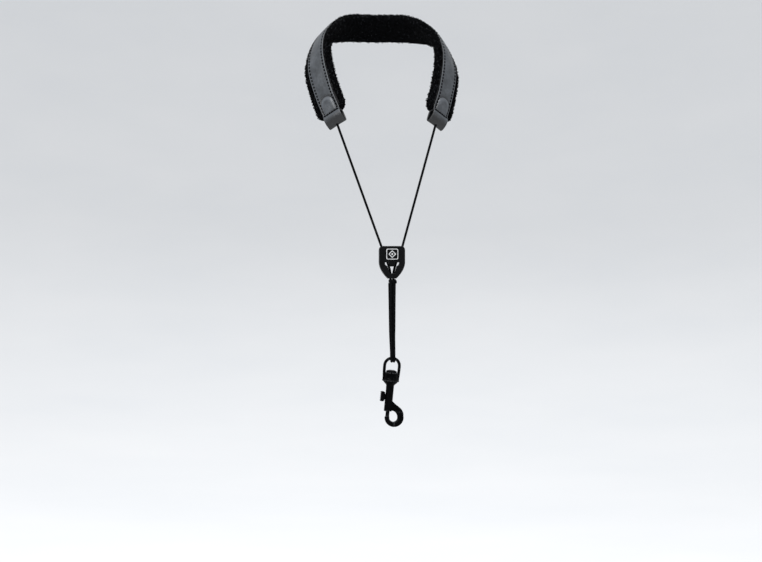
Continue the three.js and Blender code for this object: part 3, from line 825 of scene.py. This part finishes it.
def foam_core():
    """The padding: a crowned strip with round edges."""
    start = TAB_ROLL + GAP + 4
    stations = np.linspace(start, BAND.length - start, 181)
    side, height = resample(soften(
        [(-FOAM_HALF_WIDTH, FOAM_LOW), (FOAM_HALF_WIDTH, FOAM_LOW),
         (FOAM_HALF_WIDTH - 0.5, FOAM_HIGH - 0.1), (-FOAM_HALF_WIDTH + 0.5, FOAM_HIGH - 0.1)],
        1.4,
    ), 1.3).T
    distance = stations[:, None].repeat(len(side), 1)
    crown = 0.25 * np.cos(side / FOAM_HALF_WIDTH * math.pi / 2)
    top = height > (FOAM_LOW + FOAM_HIGH) / 2
    rings = on_band(distance, side, height + np.where(top, crown - 0.1, 0))
    obj = piece("foam_core", loft(rings), FOAM, "band", ["band_foam"])


PLUSH_EDGE_ROUND = 6.5  # of the lining's corners at its ends, on the side away from the neck
PLUSH_INNER_ROUND = 11
PLUSH_START = TAB_ROLL + GAP
PLUSH_MIDDLE = 3.2  # of the lining's thickness
LIP_START = 8  # from the lining's middle; what is farther out is drawn in at its ends
PILE_CELL = 2.3
CURL_COUNT = 4600


def plush_section():
    """The lining's section: a trough whose padded lips stand round the foam."""
    left = [(-12.5, LINING_FLOOR), (-12.5, 7.0), (-12.1, 8.3), (-13.4, 9.2), (-16.0, 8.9),
            (-17.8, 6.6), (-17.7, 2.4), (-15.6, 0.5)]
    right = [(14.7, 0.5), (16.6, 2.4), (16.7, 6.6), (15.2, 8.8), (13.4, 9.1), (12.1, 8.3),
             (12.5, 7.0), (12.5, LINING_FLOOR)]
    return resample(soften(right + left, [2.4, 2.2, 2.2, 2, 1.6, 1, 0, 0, 0, 0, 1, 1.6, 2, 2.2,
                                          2.2, 2.4]), 0.72)


def plush_shape(stations):
    """The lining's rings at stations, with its ends rounded off."""
    section = plush_section()
    nearer = from_nearer(stations) - PLUSH_START
    side = section[:, 0][None, :]
    rounding = np.where(side > 0, PLUSH_INNER_ROUND, PLUSH_EDGE_ROUND)
    corner = np.clip(1 - nearer[:, None] / rounding, 0, 1)
    pull = np.minimum(rounding * (1 - np.sqrt(1 - corner**2)), 8)
    lip = np.maximum(np.abs(side) - LIP_START, 0)
    side = np.sign(side) * (np.minimum(np.abs(side), LIP_START) + lip * (1 - pull / 10))
    close = np.clip(nearer / 2.6, 0, 1)
    swell = np.maximum(np.sqrt(np.maximum(1 - (1 - close) ** 2, 0)), 0.12)[:, None]
    height = PLUSH_MIDDLE + (section[:, 1][None, :] - PLUSH_MIDDLE) * swell
    distance = stations[:, None].repeat(section.shape[0], 1)
    return on_band(distance, side, height), section


noise.seed_set(11)  # noise_vector starts from the clock otherwise


def pile_height(point):
    """The relief of curly pile, in millimetres, at a point in millimetres."""
    wobble = noise.noise_vector(point / 3.1) * 0.9
    near = noise.voronoi((point + wobble) / PILE_CELL)[0][0]
    fine = noise.noise(point / 0.9)
    return 0.85 * (0.55 - near) + 0.22 * fine


def plush_lining():
    ends = PLUSH_START + np.array([0, 0.25, 0.7, 1.3, 2.0, 2.7])
    inner = np.linspace(PLUSH_START + 3.4, BAND.length - PLUSH_START - 3.4, 470)
    stations = np.concatenate([ends, inner, BAND.length - ends[::-1]])
    rings, section = plush_shape(stations)
    obj = piece("plush_lining", loft(rings), PLUSH, "band", ["band_fleece"], 180)
    mesh = obj.data
    co, normal = np.zeros((2, len(mesh.vertices) * 3))
    mesh.vertices.foreach_get("co", co)
    mesh.vertices.foreach_get("normal", normal)
    co, normal = co.reshape(-1, 3) / MM, normal.reshape(-1, 3)
    trough = (np.abs(section[:, 0]) < 12.7) & (section[:, 1] > 4)
    free = (~trough)[None, :].repeat(len(stations), 0).ravel().astype(float)
    lift = np.array([pile_height(Vector(p)) for p in co])
    co = co + normal * (lift * free)[:, None]
    mesh.vertices.foreach_set("co", (co * MM).ravel())
    mesh.update()
    # Painted highlight: the higher the pile stands, the lighter it is.
    set_wear_and_highlight(obj, np.clip(lift * 1.3, 0, 1) * free)


def curl(base, normal, side, rise, reach, radius):
    """A loop of pile that stands out of the lining and turns back into it."""
    turn = np.linspace(math.radians(-25), math.radians(205), 6)
    line = np.array([
        base + normal * (rise * math.sin(a)) + side * (reach * (1 - math.cos(a)) / 2)
        for a in turn
    ])
    return tube(line, radius, 4)


def plush_curls():
    """Loops of pile over the lining's free faces, closest together along its lips."""
    dice = random.Random(7)
    section = plush_section()
    free = [i for i, (x, y) in enumerate(section) if abs(x) > 12.2 or y < 4]
    lips = [i for i in free if section[i][1] > 2]
    following = np.roll(section, -1, 0) - np.roll(section, 1, 0)
    parts, lit, stations, places = [], [], [], []
    for _ in range(CURL_COUNT):
        stations.append(dice.uniform(PLUSH_START + 1.5, BAND.length - PLUSH_START - 1.5))
        places.append(dice.choice(lips if dice.random() < 0.7 else free))
    stations = np.array(stations)
    rings, _ = plush_shape(stations)
    _, along, out, across = band_frame(stations)
    for k, i in enumerate(places):
        dx, dy = unit(following[i])
        normal = across[k] * dy - out[k] * dx
        angle = dice.uniform(0, 2 * math.pi)
        level = across[k] * dx + out[k] * dy
        side = along[k] * math.cos(angle) + level * math.sin(angle)
        base = rings[k, i] - normal * 0.15
        parts.append(curl(base, normal, side, dice.uniform(0.75, 1.35), dice.uniform(0.9, 1.7),
                          dice.uniform(0.17, 0.26)))
        # A painted highlight on some curls, chosen at random.
        lit.append(max(dice.uniform(-1.2, 1), 0))
    obj = piece("plush_curls", merge(*parts), PLUSH, "band", (), 180)
    set_wear_and_highlight(obj, np.repeat(lit, len(obj.data.vertices) // CURL_COUNT))


piece("leather_stitching", merge(*leather_stitches()), THREAD, "band", (), 80)
foam_core()
leather_strip()
plush_lining()
plush_curls()


# ---- The end tabs ----

TONGUE_RISE = 2.1


def tongue_part(side):
    """The tongue: a round-ended patch that swells up from the leather."""
    rows = np.concatenate([[0.02, 0.12, 0.3, 0.6, 1.0], np.linspace(1.5, TONGUE_TIP - 0.2, 34)])
    shares = np.sin(np.linspace(-math.pi / 2, math.pi / 2, 33))
    fall = np.clip(1 - rows / TONGUE_RADIUS, 0, 1)
    half = TONGUE_RADIUS * np.sqrt(1 - fall**2)
    across = half[:, None] * shares[None, :]
    tip = np.maximum(TONGUE_RADIUS - rows, 0)[:, None]
    inward = TONGUE_RADIUS - np.sqrt(across**2 + tip**2)
    slope = np.clip(1 - inward / 3.6, 0, 1)
    rise = TONGUE_RISE * np.sqrt(np.maximum(1 - slope**2.4, 0))
    seam = bell(rows - TONGUE_TIP, 1.5)[:, None]
    rise = rise * (1 - 0.45 * seam) + 0.12 * np.sin(across / 3.1) * np.sin(rows / 4)[:, None] ** 2
    distance = from_end(side, TAB_ROLL + TONGUE_TIP - rows)[:, None].repeat(33, 1)
    top = on_band(distance, across, LEATHER_HIGH - 0.3 + rise)
    low = on_band(distance, across * 0.98, LEATHER_HIGH - 0.45)
    rings = np.concatenate([top, low[:, ::-1]], 1)
    # A painted highlight: a lighter band inside the rim near the tongue's tip.
    rub_and_highlight = bell(inward - 2.6, 1.8) * smooth_step((12 - rows) / 8)[:, None]
    return loft(rings), np.concatenate([rub_and_highlight, 0 * rub_and_highlight], 1).ravel()


def ply_section(half_width, thickness):
    """A leather strip's section: round edges with a line between its two plies."""
    w, t = half_width, thickness / 2
    right = [(w - 0.35, -t), (w - 0.08, -t * 0.72), (w, -t * 0.35), (w - 0.05, -t * 0.12),
             (w - 0.22, 0), (w - 0.05, t * 0.12), (w, t * 0.35), (w - 0.08, t * 0.72),
             (w - 0.35, t)]
    top = [(x, t) for x in np.linspace(w - 0.9, -w + 0.9, 22)]
    left = [(-x, y) for x, y in right[::-1]]
    under = [(x, -t) for x in np.linspace(-w + 0.9, w - 0.9, 22)]
    return np.array(right + top + left + under)


def roll_line():
    """The middle of the roll's leather in the tunnel's x and y, and its outward normals."""
    front = [(-1.7, 10.75), (-1.0, 10.7), (-0.35, 10.4), (0.25, 10.5), (0.9, 11.05),
             (1.9, 11.75), (3.4, 12.2), (5.2, 12.25), (7.0, 11.9), (8.8, 11.2), (10.4, 10.3),
             (11.8, 9.2), (12.8, 8.1), (13.2, 7.0), (12.8, 5.95), (11.7, 5.2), (10.2, 4.85)]
    back = [(8.5, 4.78), (6, 4.78), (3.4, 4.8), (1.9, 5.0), (1.05, 5.6), (0.75, 6.6),
            (0.7, 8.0), (0.75, 9.4)]
    line = Route([(x, y, 0) for x, y in front + back]).every(0.45)
    along = unit(np.gradient(line, axis=0))
    return line, np.stack([-along[:, 1], along[:, 0], np.zeros(len(line))], 1)


def roll_part(side):
    """The roll: the tab's leather, from the seam over the knot and back up behind it."""
    line, normal = roll_line()
    section = ply_section(TAB_HALF_WIDTH, TAB_THICKNESS)
    third = np.array([0, 0, 1.0])
    points, faces = loft([
        p + n * section[:, 1:2] + third * section[:, 0:1] for p, n in zip(line, normal)
    ])
    x, _, across = points.T
    sag = 0.22 * np.cos(across / TAB_HALF_WIDTH * math.pi) * smooth_step(x / 6)
    points = points + np.stack([0 * x, sag, 0 * x], 1)
    return TUNNELS[side].place(points), faces


def inside_roll(local):
    """Which points of the roll, in the tunnel's frame, face its tunnel."""
    line, normal = roll_line()
    away = local[:, None, :2] - line[None, :, :2]
    nearest = np.argmin((away**2).sum(2), 1)
    return (away[np.arange(len(local)), nearest] * normal[nearest, :2]).sum(1) < -0.35


def tab(side, label):
    obj = mesh_object(f"tab_leather_{label}", roll_part(side), 60)
    hole = tube(TUNNELS[side].place([[x, CORD_HEIGHT, 0] for x in (10.5, 12, 14, 17)]), 1.45, 20)
    carve(obj, hole, sharp=60)
    roll = piece(f"tab_roll_{label}", obj, LEATHER, "band", [f"end_tab_{label}"])
    local = local_points(roll, TUNNELS[side].matrix, TUNNELS[side].origin)
    from_edge = TAB_HALF_WIDTH - np.abs(local[:, 2])
    # Lighter along the worn edges, and a painted highlight across the roll's top, below the seam.
    set_wear_and_highlight(roll, 0.5 * bell(from_edge - 0.4, 0.15) + 0.45 * bell(local[:, 0] - 2.4, 1.3))
    # Painted shade: the roll is darker the farther down it goes, and its inside is painted dark;
    # its cut edges carry the real black edge paint.
    painted_bottom_shade = 0.95 * smooth_step((local[:, 0] - 2.0) / 7.5)
    set_share(roll, "edge_paint_and_shade", np.where(inside_roll(local) | (from_edge < 0.3), 0.92, painted_bottom_shade))
    part, rub_and_highlight = tongue_part(side)
    tongue = piece(f"tab_tongue_{label}", part, LEATHER, "band", (), 70)
    # The tongue's painted highlight.
    set_wear_and_highlight(tongue, rub_and_highlight)
    seam = []
    for k in range(6):
        middle = (k - 2.5) * 3.05
        ends = TUNNELS[side].place([[-0.35, 11.2, middle + reach] for reach in (-1.1, 1.1)])
        seam.append(stitch(*ends, TUNNELS[side].out))
    piece(f"tab_stitching_{label}", merge(*seam), THREAD, "band", (), 80)


def trefoil(radius, cord):
    """A small tight knot that fits in a ball of that radius."""
    t = np.linspace(0, 2 * math.pi, 121)
    line = np.stack([
        np.sin(t) + 2 * np.sin(2 * t), np.cos(t) - 2 * np.cos(2 * t), -1.4 * np.sin(3 * t),
    ], 1)
    return tube(line * (radius - cord) / 3, cord, 16,
                lambda run, angle: braid(run, angle, 6, 1.1, 0.08))


for side, label in SIDES:
    tab(side, label)
    knot = placed(trefoil(2.3, 0.82), TUNNELS[side].matrix[:, [2, 1, 0]],
                  TUNNELS[side].place([[TAB_ROLL / 2 + 0.8, CORD_HEIGHT, 0]])[0])
    piece(f"end_knot_{label}", knot, CORD, "band", [f"stopper_knot_{label}"])


# ---- The adjuster ----

def bezier(points, steps=10):
    """A Bezier curve of any degree, without its first point."""
    made = []
    for k in range(1, steps + 1):
        row = np.array(points, float)
        w = k / steps
        while len(row) > 1:
            row = row[:-1] * (1 - w) + row[1:] * w
        made.append(row[0])
    return made


def both_sides(right):
    """A closed outline from its right half, which runs down from the top."""
    return np.array([*right, *((-x, z) for x, z in right[::-1])], float)


def shield_outline():
    right = [(3, 0), (9.8, 0)]
    right += bezier([(9.8, 0), (13.4, -0.6), (13.4, -4.8)])
    right += [(13.4, -10.5), (13.4, -16.5)]
    right += bezier([(13.4, -16.5), (13.4, -22.5), (9.6, -28.5), (4.4, -33.5)], 16)
    return both_sides(right)


def window_outline():
    right = [(4.9, -16.8), (6.7, -16.8)]
    right += bezier([(6.7, -16.8), (7.4, -16.8), (7.4, -17.5)], 4)
    right += bezier([(7.4, -17.5), (7.4, -19.6), (5.0, -20.6)], 8)
    right += [(4.3, -22.9), (3.6, -25.1), (2.9, -27.2)]
    right += bezier([(2.9, -27.2), (2.6, -28), (1.9, -28)], 4)
    return both_sides(right)


def front_window_outline():
    """The front half's window, with a tongue that hangs into it between the cords."""
    window = window_outline()
    tongue = [(2.2, -21.2), (2.9, -20.6), (3.2, -17.4), (3.7, -16.8)]
    return both_sides([*tongue, *window[1:len(window) // 2]])


def inner_line(side):
    rows = [(10.9, -0.4), (7.8, -8.5), (4.6, -17), (2.2, -24.5), (1.5, -29.5), (1.5, -34.6)]
    return Route([(side * x, 0, z) for x, z in rows])


def channel(side):
    points = inner_line(side).at(np.linspace(0, 1, 13))
    longer = [(side * 12.2, 0, 3.5), *points[:-1], (side * 1.5, 0, -40)]
    return tube(Route(longer).every(1.2), CORD_RADIUS + 0.4, 16)


ADJUSTER_PLACE = (HANG_X, HANG_Y, ADJUSTER_TOP)


def in_adjuster(part):
    return placed(part, None, ADJUSTER_PLACE)


SHELL_FRONT, SHELL_BACK = -3.35, 3.35
SCREW_X, SCREW_Z = 3.6, -8.4
BADGE_CENTRE = (0, -8.4)
INLAY = (-3.95, -3.62)


def adjuster_shells():
    front = mesh_object("front", plate(
        shield_outline(), SHELL_FRONT, -0.15, 0.85, [front_window_outline()], 5))
    back = mesh_object("back", plate(
        shield_outline(), 0.15, SHELL_BACK, 0.85, [window_outline()], 5))
    recess = plate(soften([(-6.9, -2.1), (6.9, -2.1), (6.9, -14.7), (-6.9, -14.7)], 1.6),
                   SHELL_FRONT - 1, SHELL_FRONT + 0.6, 0.1)
    carve(front, recess)
    for side in (-1, 1):
        carve(front, channel(side))
        carve(back, channel(side))
        seat = lathe([(0, -6), (0.95, -6), (0.95, -1.25), (2.1, -1.15), (2.1, 3), (0, 3)], 40)
        carve(back, placed(seat, [[1, 0, 0], [0, 0, 1], [0, -1, 0]],
                           (side * SCREW_X, SHELL_BACK, SCREW_Z)))
    for name, obj, node in (("adjuster_face", front, "adjuster_front"),
                            ("adjuster_rear", back, "adjuster_back")):
        obj.location = Vector(ADJUSTER_PLACE) * MM
        piece(name, obj, PLASTIC, "adjuster", [node])
        # A painted highlight: the top 0.5 mm of each shell is lighter.
        height = np.array([v.co.z for v in obj.data.vertices]) / MM
        set_wear_and_highlight(obj, smooth_step(1 + height / 0.5))


def frame_outline(width, height, radius, centre=BADGE_CENTRE):
    x, z = width / 2, height / 2
    corners = [(x, z), (x, -z), (-x, -z), (-x, z)]
    return soften(corners, radius, steps=6) + np.array(centre)


def diamond(reach):
    return soften([(reach, 0), (0, -reach), (-reach, 0), (0, reach)], 0.7) + BADGE_CENTRE


def badge():
    """A plain inlay: a thin round-cornered frame round two diamonds."""
    ground = plate(frame_outline(13.2, 12, 1.5), -3.72, -3.05, 0.25)
    piece("badge_ground", in_adjuster(ground), PLASTIC, "adjuster", ["adjuster_badge"])
    marks = [
        plate(frame_outline(12.2, 11.0, 1.8), *INLAY, 0.1, [frame_outline(10.8, 9.6, 1.3)]),
        plate(diamond(4.0), *INLAY, 0.1, [diamond(2.9)]),
        plate(diamond(1.2), *INLAY, 0.1),
    ]
    piece("badge_inlay", in_adjuster(merge(*marks)), PRINT, "adjuster", ())


def tie_knot():
    """The lump under the adjuster: the cords' ends wound twice round the strands."""
    turn = np.linspace(-0.4, 2 * 2 * math.pi + 0.5, 110)
    share = np.linspace(0, 1, len(turn))
    tuck = 1 - 0.5 * (smooth_step(1 - share / 0.08) + smooth_step((share - 0.92) / 0.08))
    coil = np.stack([
        3.15 * tuck * np.cos(turn), 2.75 * tuck * np.sin(turn), -35.05 - 2.55 * share,
    ], 1)
    parts = [cord_tube(coil, 1.14, 24)]
    cross = Route([(-2.6, 1.4, -34.9), (-3.2, -1.2, -35.2), (-0.6, -3.25, -36.4),
                   (2.6, -2.5, -37.4), (3.3, 0.4, -37.7), (2.0, 2.2, -37.4)]).every(0.3)
    parts.append(cord_tube(cross, 0.98, 24))
    for x, y in ((-1.5, -0.9), (1.5, -0.9), (-1.5, 1.0), (1.5, 1.0)):
        core = np.array([(x, y, z) for z in np.linspace(-34, -38.7, 16)])
        parts.append(cord_tube(core, 1.15, 20))
    made = placed(merge(*parts), None, (HANG_X + 0.8, HANG_Y, ADJUSTER_TOP))
    piece("gathering_knot", made, CORD, "adjuster", ["tie_knot"])


def screws():
    for side, label in SIDES:
        obj = mesh_object("screw", turned([
            (0, -4.4), (0.9, -4.4), (0.9, -1.1), (1.9, -1.1), (1.9, -0.45), (1.2, 0), (0, 0),
        ], 0.35, 40))
        for low, high in (((-1.2, -0.22, -0.5), (1.2, 0.22, 1)),
                          ((-0.22, -1.2, -0.5), (0.22, 1.2, 1))):
            carve(obj, box(low, high))
        obj.rotation_euler = (math.radians(-90), 0, 0)
        obj.location = (Vector(ADJUSTER_PLACE) + Vector((side * SCREW_X, 3.25, SCREW_Z))) * MM
        piece(f"screw_{label}", obj, STEEL, "adjuster", [f"adjuster_screw_{label}"])


adjuster_shells()
badge()
tie_knot()
screws()
for side, label in SIDES:
    inside = in_adjuster(cord_tube(inner_line(side).every(CORD_STEP)))
    piece(f"window_cord_{label}", inside, CORD, "adjuster", [f"adjuster_cord_{label}"])


# ---- The snap hook ----

COS, SIN = math.cos(HOOK_TILT), math.sin(HOOK_TILT)
HOOK_MATRIX = np.array([[COS, 0, SIN], [0, 1, 0], [-SIN, 0, COS]])
HOOK_PLACE = np.array([HANG_X + HOOK_SHIFT, HANG_Y, EYE_BAR_Z])


def in_hook(part):
    return placed(part, HOOK_MATRIX, HOOK_PLACE)


def hook_piece(name, part, body, node, sharp=40):
    part = in_hook(part) if isinstance(part, tuple) else part
    return piece(name, part, COATED, body, [node], sharp)


def hook_local(obj):
    return local_points(obj, HOOK_MATRIX, HOOK_PLACE)


def hook_carve(obj, part, operation="DIFFERENCE"):
    carve(obj, in_hook(part), operation, 35)


def eye():
    leg = [(7.0, 0, -23.4), (7.1, 0, -20), (7.45, 0, -15)]
    arch = leg + [
        (7.6 * math.cos(a), 0, -7.6 + 7.6 * math.sin(a))
        for a in np.linspace(0, math.pi, 13)
    ]
    arch += [(-x, y, z) for x, y, z in leg[::-1]]
    cup = turned([
        (2.9, -24), (8.35, -24), (8.85, -23.4), (8.75, -22.5), (7.5, -21.7), (7.05, -20.2),
        (6.9, -16), (6.3, -14.6), (2.9, -14.6), (2.9, -24),
    ], [0, 0.4, 0.5, 0.5, 1.2, 1.4, 0.9, 0.9, 0, 0], 72)
    bar = tube(Route(arch).every(0.8), 1.55, 28)
    obj = hook_piece("hook_eye", merge(cup, bar), "eye", "swivel_eye", 35)
    x, y, z = hook_local(obj).T
    # Painted highlights on the flange's rim and the cup's top lip; the arch's inner bar is lighter
    # where the cords rub it.
    rim = bell(z + 23.3, 0.5) * (np.hypot(x, y) > 8)
    inner_bar = np.clip((-0.4 - z) / 1.2, 0, 1) * (z > -2.2)
    lip = bell(z + 15.2, 0.5) * (np.hypot(x, y) < 7)
    set_wear_and_highlight(obj, np.clip(0.8 * rim + lip + inner_bar * (np.abs(x) < 5), 0, 1))


def rivet():
    dome = [(5.6 * math.cos(a), -13.9 + 2.0 * math.sin(a))
            for a in np.linspace(0, math.pi / 2, 12)]
    profile = [(0, -27), (2.1, -27), (2.5, -26.6), (2.5, -14.5), (5.45, -14.5), *dome[:-1],
               (0, -11.9)]
    obj = hook_piece("eye_rivet", lathe(profile, 56), "hook", "swivel_rivet")
    # A painted highlight in a ring near the top of the dome.
    set_wear_and_highlight(obj, 0.6 * bell(hook_local(obj)[:, 2] + 12.3, 0.5))


CLAW_X, CLAW_Z, CLAW_R = 7.2, -60.5, 9.85
MOUTH_X, MOUTH_Z, MOUTH_R = 6.35, -60.7, 4.1
MOUTH_FLAT = -64.87
NOSE_TOP = -60.22
SEAM_X = 7.6  # of the parting line across the claw's bottom
CLAW_BOTTOM = -64


def claw_stations():
    """Pairs of an outer and an inner point, from inside the barrel round to the nose."""
    pairs = [
        ((1.5, -41.5), (1.5, -53.6)), ((3.6, -43.6), (3.4, -53.8)), ((5.6, -45.3), (5.0, -53.9)),
        ((8.6, -47.5), (6.3, -54.2)), ((11.6, -49.4), (8.0, -55.2)),
        ((14.1, -51.5), (9.2, -56.5)), ((15.8, -53.9), (9.9, -57.9)),
        ((16.55, -56.1), (10.25, -58.9)),
    ]
    for share in np.linspace(0, 1, 32):
        outer = math.radians(16 - 194 * share)
        inner = math.radians(14 - 192 * share)
        a = (CLAW_X + CLAW_R * math.cos(outer), CLAW_Z + CLAW_R * math.sin(outer))
        z = MOUTH_Z + MOUTH_R * math.sin(inner)
        b = (MOUTH_X + MOUTH_R * math.cos(inner), max(z, MOUTH_FLAT))
        pairs.append((a, b))
    pairs.append(((-2.3, NOSE_TOP), (2.5, NOSE_TOP)))
    return pairs


def claw_part():
    """The claw, cast with a rounded section, and its parting line as a narrow groove."""
    a, b = (
        Route([(x, 0, z) for x, z in line]).at(np.linspace(0, 1, 150))
        for line in zip(*claw_stations())
    )
    angle = round_angles(28)
    power = 2 / 2.7
    wide = np.sign(np.cos(angle)) * np.abs(np.cos(angle)) ** power
    deep = np.sign(np.sin(angle)) * np.abs(np.sin(angle)) ** power
    rings = []
    for p, q in zip(a, b):
        middle, half = (p + q) / 2, (p - q) / 2
        groove = math.exp(-(((middle[0] - SEAM_X) / 0.28) ** 2)) * (middle[2] < CLAW_BOTTOM)
        ring = middle + half * (1 - 0.045 * groove) * wide[:, None]
        rings.append(ring + np.array([0, 2.6 - 0.16 * groove, 0]) * deep[:, None])
    return loft(rings)


def hook_body():
    obj = mesh_object("barrel", in_hook(turned([
        (0, -54.6), (4.05, -54.6), (4.05, -53.2), (4.05, -27.6), (6.8, -25.2), (7.4, -24.1),
        (0, -24.1),
    ], [0, 0.5, 0, 1.2, 0.8, 0.25, 0], 72)))
    hook_carve(obj, claw_part(), "UNION")
    bore = [(0, -58), (2.3, -58), (2.05, -54.3), (2.05, -28.4), (0, -28.4)]
    for hollow in (bore, [(0, -27.3), (2.8, -27.3), (2.8, -23), (0, -23)]):
        hook_carve(obj, lathe(hollow, 48))
    slot = plate(frame_outline(2.6, 12.2, 1.2, (0, -37.1)), -6, 0, 0.05)
    hook_carve(obj, placed(slot, [[0, 1, 0], [-1, 0, 0], [0, 0, 1]]))
    obj = hook_piece("hook_barrel", obj, "hook", "hook_body")
    x, _, z = hook_local(obj).T
    line = bell(x - SEAM_X, 0.3) * (z < CLAW_BOTTOM)
    from_mouth = np.hypot(x - MOUTH_X, z - MOUTH_Z)
    rub_and_highlight = np.clip(1 - (from_mouth - 4.5) / 1.2, 0, 1) * (z < -62)
    set_wear_and_highlight(obj, np.clip(line + 0.7 * rub_and_highlight + 0.5 * bell(z + 54.4, 0.4), 0, 1))


def bolt():
    part = turned([
        (0, -60.15), (1.98, -60.15), (1.98, -59.2), (1.98, -55), (1.75, -54.5), (1.75, -37.6),
        (0, -37.6),
    ], [0, 0.3, 0, 0, 0, 0.2, 0], 48)
    obj = hook_piece("spring_bolt", part, "bolt_slider", "bolt")
    set_wear_and_highlight(obj, 0.8 * bell(hook_local(obj)[:, 2] + 59.8, 0.5))


def thumb_button():
    low, high, teeth, neck_z = -45.0, -34.6, 5, -39.95
    pitch = (high - low) / teeth
    outer = []
    for k in range(teeth):
        z = low + k * pitch
        outer += [(-8.35, z + 0.12), (-9.1, z + 0.55), (-9.1, z + 1.45), (-8.35, z + pitch - 0.12)]
    inner = [(-6.1, high), (-4.7, high - 0.9), (-4.7, low + 1.2), (-6.1, low)]
    button = plate(soften([*outer, *inner], 0.22, steps=3), -2.6, 2.6, 0.3)
    neck = plate(frame_outline(4.6, 5.7, 0.5, (-5.3, neck_z)), -1, 1, 0.15)
    pin = tube(np.array([(x, 0, neck_z) for x in (-4, -2.6, -1.2, 0)], float), 0.9, 24)
    obj = mesh_object("button", in_hook(button))
    for part in (neck, pin):
        hook_carve(obj, part, "UNION")
    obj = hook_piece("thumb_plate", obj, "bolt_slider", "thumb_button")
    set_wear_and_highlight(obj, np.clip((-8.9 - hook_local(obj)[:, 0]) / 0.15, 0, 1))


def bolt_spring():
    low, high, turns = -37.08, -28.92, 5
    t = np.linspace(0, 1, 161)
    angle = t * turns * 2 * math.pi
    line = np.stack([1.45 * np.cos(angle), 1.45 * np.sin(angle), low + (high - low) * t], 1)
    obj = piece("return_spring", in_hook(tube(line, 0.22, 8)), STEEL, "hook", ["bolt_spring"])
    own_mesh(obj)


eye()
rivet()
hook_body()
bolt()
thumb_button()
bolt_spring()


# ---- Stage and light ----

def stage_material():
    paint = Paint("pale_floor", Specular_IOR_Level=0.1, Emission_Color=(0.95, 0.97, 1, 1),
                  Emission_Strength=0.28)
    paint.set("Base Color", paint.between(
        paint.noise(3, 2), 0.3, 0.7, (0.52, 0.53, 0.54), (0.55, 0.555, 0.56)))
    paint.set("Roughness", paint.spread(paint.noise(20), 0.3, 0.7, 0.9, 1.0))
    return paint.material


FLOOR_Z = -600
BOWL_START, BOWL_RISE = 500, 0.9e-4


def floor():
    """A pale floor that rises slowly into a wall far off on every side."""
    profile = [(0.001, FLOOR_Z), (300, FLOOR_Z)]
    profile += [
        (r, FLOOR_Z + BOWL_RISE * (r - BOWL_START) ** 2)
        for r in np.linspace(BOWL_START, 7000, 48)
    ]
    points, faces = lathe(profile, 96)
    obj = mesh_object("floor", (points, faces[:-1]), 180)
    obj.data.flip_normals()
    obj.data.materials.append(stage_material())


def soft_light(name, place, size, power, tint=(1, 1, 1)):
    light = bpy.data.lights.new(name, "AREA")
    light.shape = "RECTANGLE"
    light.size, light.size_y = size
    light.energy = power
    light.color = tint
    obj = bpy.data.objects.new(name, light)
    obj.location = place
    aim = Vector((0, -0.07, -0.2)) - Vector(place)
    obj.rotation_euler = aim.to_track_quat("-Z", "Y").to_euler()
    bpy.context.scene.collection.objects.link(obj)


floor()
soft_light("top", (-0.15, -0.45, 1.3), (0.9, 0.5), 16)
soft_light("key", (-1.0, -1.3, 0.9), (0.6, 0.6), 20, (1, 0.99, 0.97))
soft_light("fill", (1.5, -1.3, 0.5), (0.7, 0.7), 6, (0.96, 0.98, 1))
soft_light("rim", (0.3, 1.6, 1.2), (1.2, 0.6), 10)

world = bpy.data.worlds.new("studio")
world.use_nodes = True
sky = next(n for n in world.node_tree.nodes if n.type == "BACKGROUND")
sky.inputs["Color"].default_value = (0.93, 0.95, 0.98, 1)
sky.inputs["Strength"].default_value = 0.68
bpy.context.scene.world = world

bpy.context.view_layer.update()
